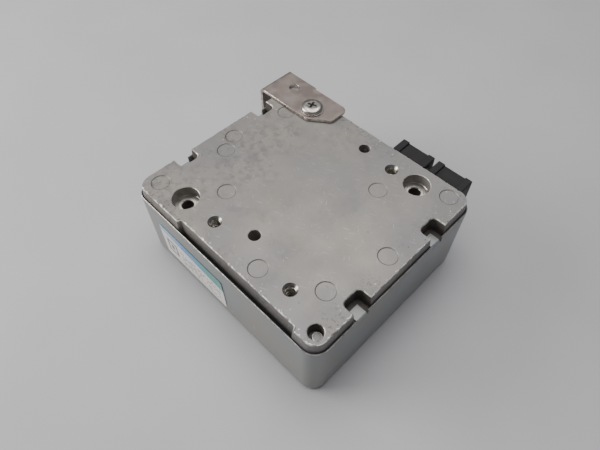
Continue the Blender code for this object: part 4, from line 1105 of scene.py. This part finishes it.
def dress_inner_parts():
    rubber = moulded("nitrile_rubber_cord", "17181A", "222325", 0.7, 0.85, 1.52, 1.0)
    laminate = moulded("solder_masked_fr4", "12452B", "1A5635", 0.3, 0.42, 1.55, 0.8)
    resin = moulded("transfer_moulded_epoxy", "191A1C", "26272A", 0.5, 0.62, 1.55, 0.5)
    silicone = moulded("filled_silicone_pad", "A9ABAD", "BCBEC0", 0.7, 0.82, 1.43, 0.7)
    sleeve = moulded("shrunk_pvc_sleeve", "1B2440", "25304F", 0.28, 0.4, 1.54, 1.2)
    ferrite = moulded("sintered_ferrite", "2A2A2C", "37373A", 0.55, 0.7, 2.0, 0.6)
    nylon = moulded("natural_nylon_moulding", "C9BFA4", "D6CDB4", 0.42, 0.55, 1.53, 0.9)
    copper = metal("enamelled_copper_wire", "B5622F", "8E4520", 0.25, 0.38)
    iron = metal("nickel_plated_soft_iron", "B4B3AE", "8F8E8A", 0.3, 0.45)
    dressings = {
        rubber: ["perimeter_seal"],
        laminate: ["main_board"],
        resin: ["microcontroller", "driver_chip_1", "driver_chip_2"]
        + [f"power_transistor_{n}" for n in range(1, 5)],
        silicone: ["thermal_pad"],
        sleeve: [f"capacitor_{n}" for n in range(1, 4)],
        ferrite: ["choke_core"],
        nylon: ["relay_base"],
        copper: ["choke_winding", "relay_coil"],
        iron: ["clamp_bar", "relay_yoke", "relay_core", "relay_armature"],
        ZINC: [f"board_screw_{n}" for n in range(1, 5)] + ["clamp_screw_1", "clamp_screw_2", "crystal"],
        BRASS: ["relay_fixed_contact"],
    }
    for material, nodes in dressings.items():
        for node in nodes:
            dress(node, material)


# ---------------------------------------------------------------- floor, light and camera


def floor():
    size = 1600
    outline = [(-size, -size), (size, -size), (size, size), (-size, size)]
    sheet = skin("floor", [level(outline, -4), level(outline, 0)], [pale_floor()])


def softbox(name, place, aim, size, power, tint="FFFFFF"):
    light = bpy.data.lights.new(name, "AREA")
    light.shape = "RECTANGLE"
    light.size, light.size_y = size[0] * MM, size[1] * MM
    light.energy = power
    light.color = shade(tint)[:3]
    obj = bpy.data.objects.new(name, light)
    obj.location = at(*place)
    obj.rotation_euler = (at(*aim) - obj.location).to_track_quat("-Z", "Y").to_euler()
    bpy.context.scene.collection.objects.link(obj)


def studio():
    world = bpy.data.worlds.new("soft_room")
    world.use_nodes = True
    background = world.node_tree.nodes["Background"]
    background.inputs["Color"].default_value = shade("DDE4F2")
    background.inputs["Strength"].default_value = 0.12
    bpy.context.scene.world = world
    softbox("overhead", (-120, 120, 900), (0, 0, 40), (900, 900), 8.5, "FFFEFC")
    softbox("left_window", (-700, -580, 440), (0, 0, 30), (600, 500), 9.0, "FFFAF4")

    camera = bpy.data.cameras.new("camera")
    camera.sensor_width = 36.0
    camera.lens = LENS
    camera.clip_start = 0.01
    obj = bpy.data.objects.new("camera", camera)
    obj.location = at(*CAMERA_PLACE)
    obj.rotation_euler = (math.radians(90 - CAMERA_DOWN), 0, math.radians(CAMERA_HEADING))
    bpy.context.scene.collection.objects.link(obj)
    bpy.context.scene.camera = obj


base_casting()
cover_shell()
label()
mounting_bracket()
bracket_screw()
bracket_washer()
vent_plug()
connector("a")
connector("b")
contact_pins(formed_strip_tree())
tapped_threads(wound_tree())
dress_inner_parts()
floor()
studio()
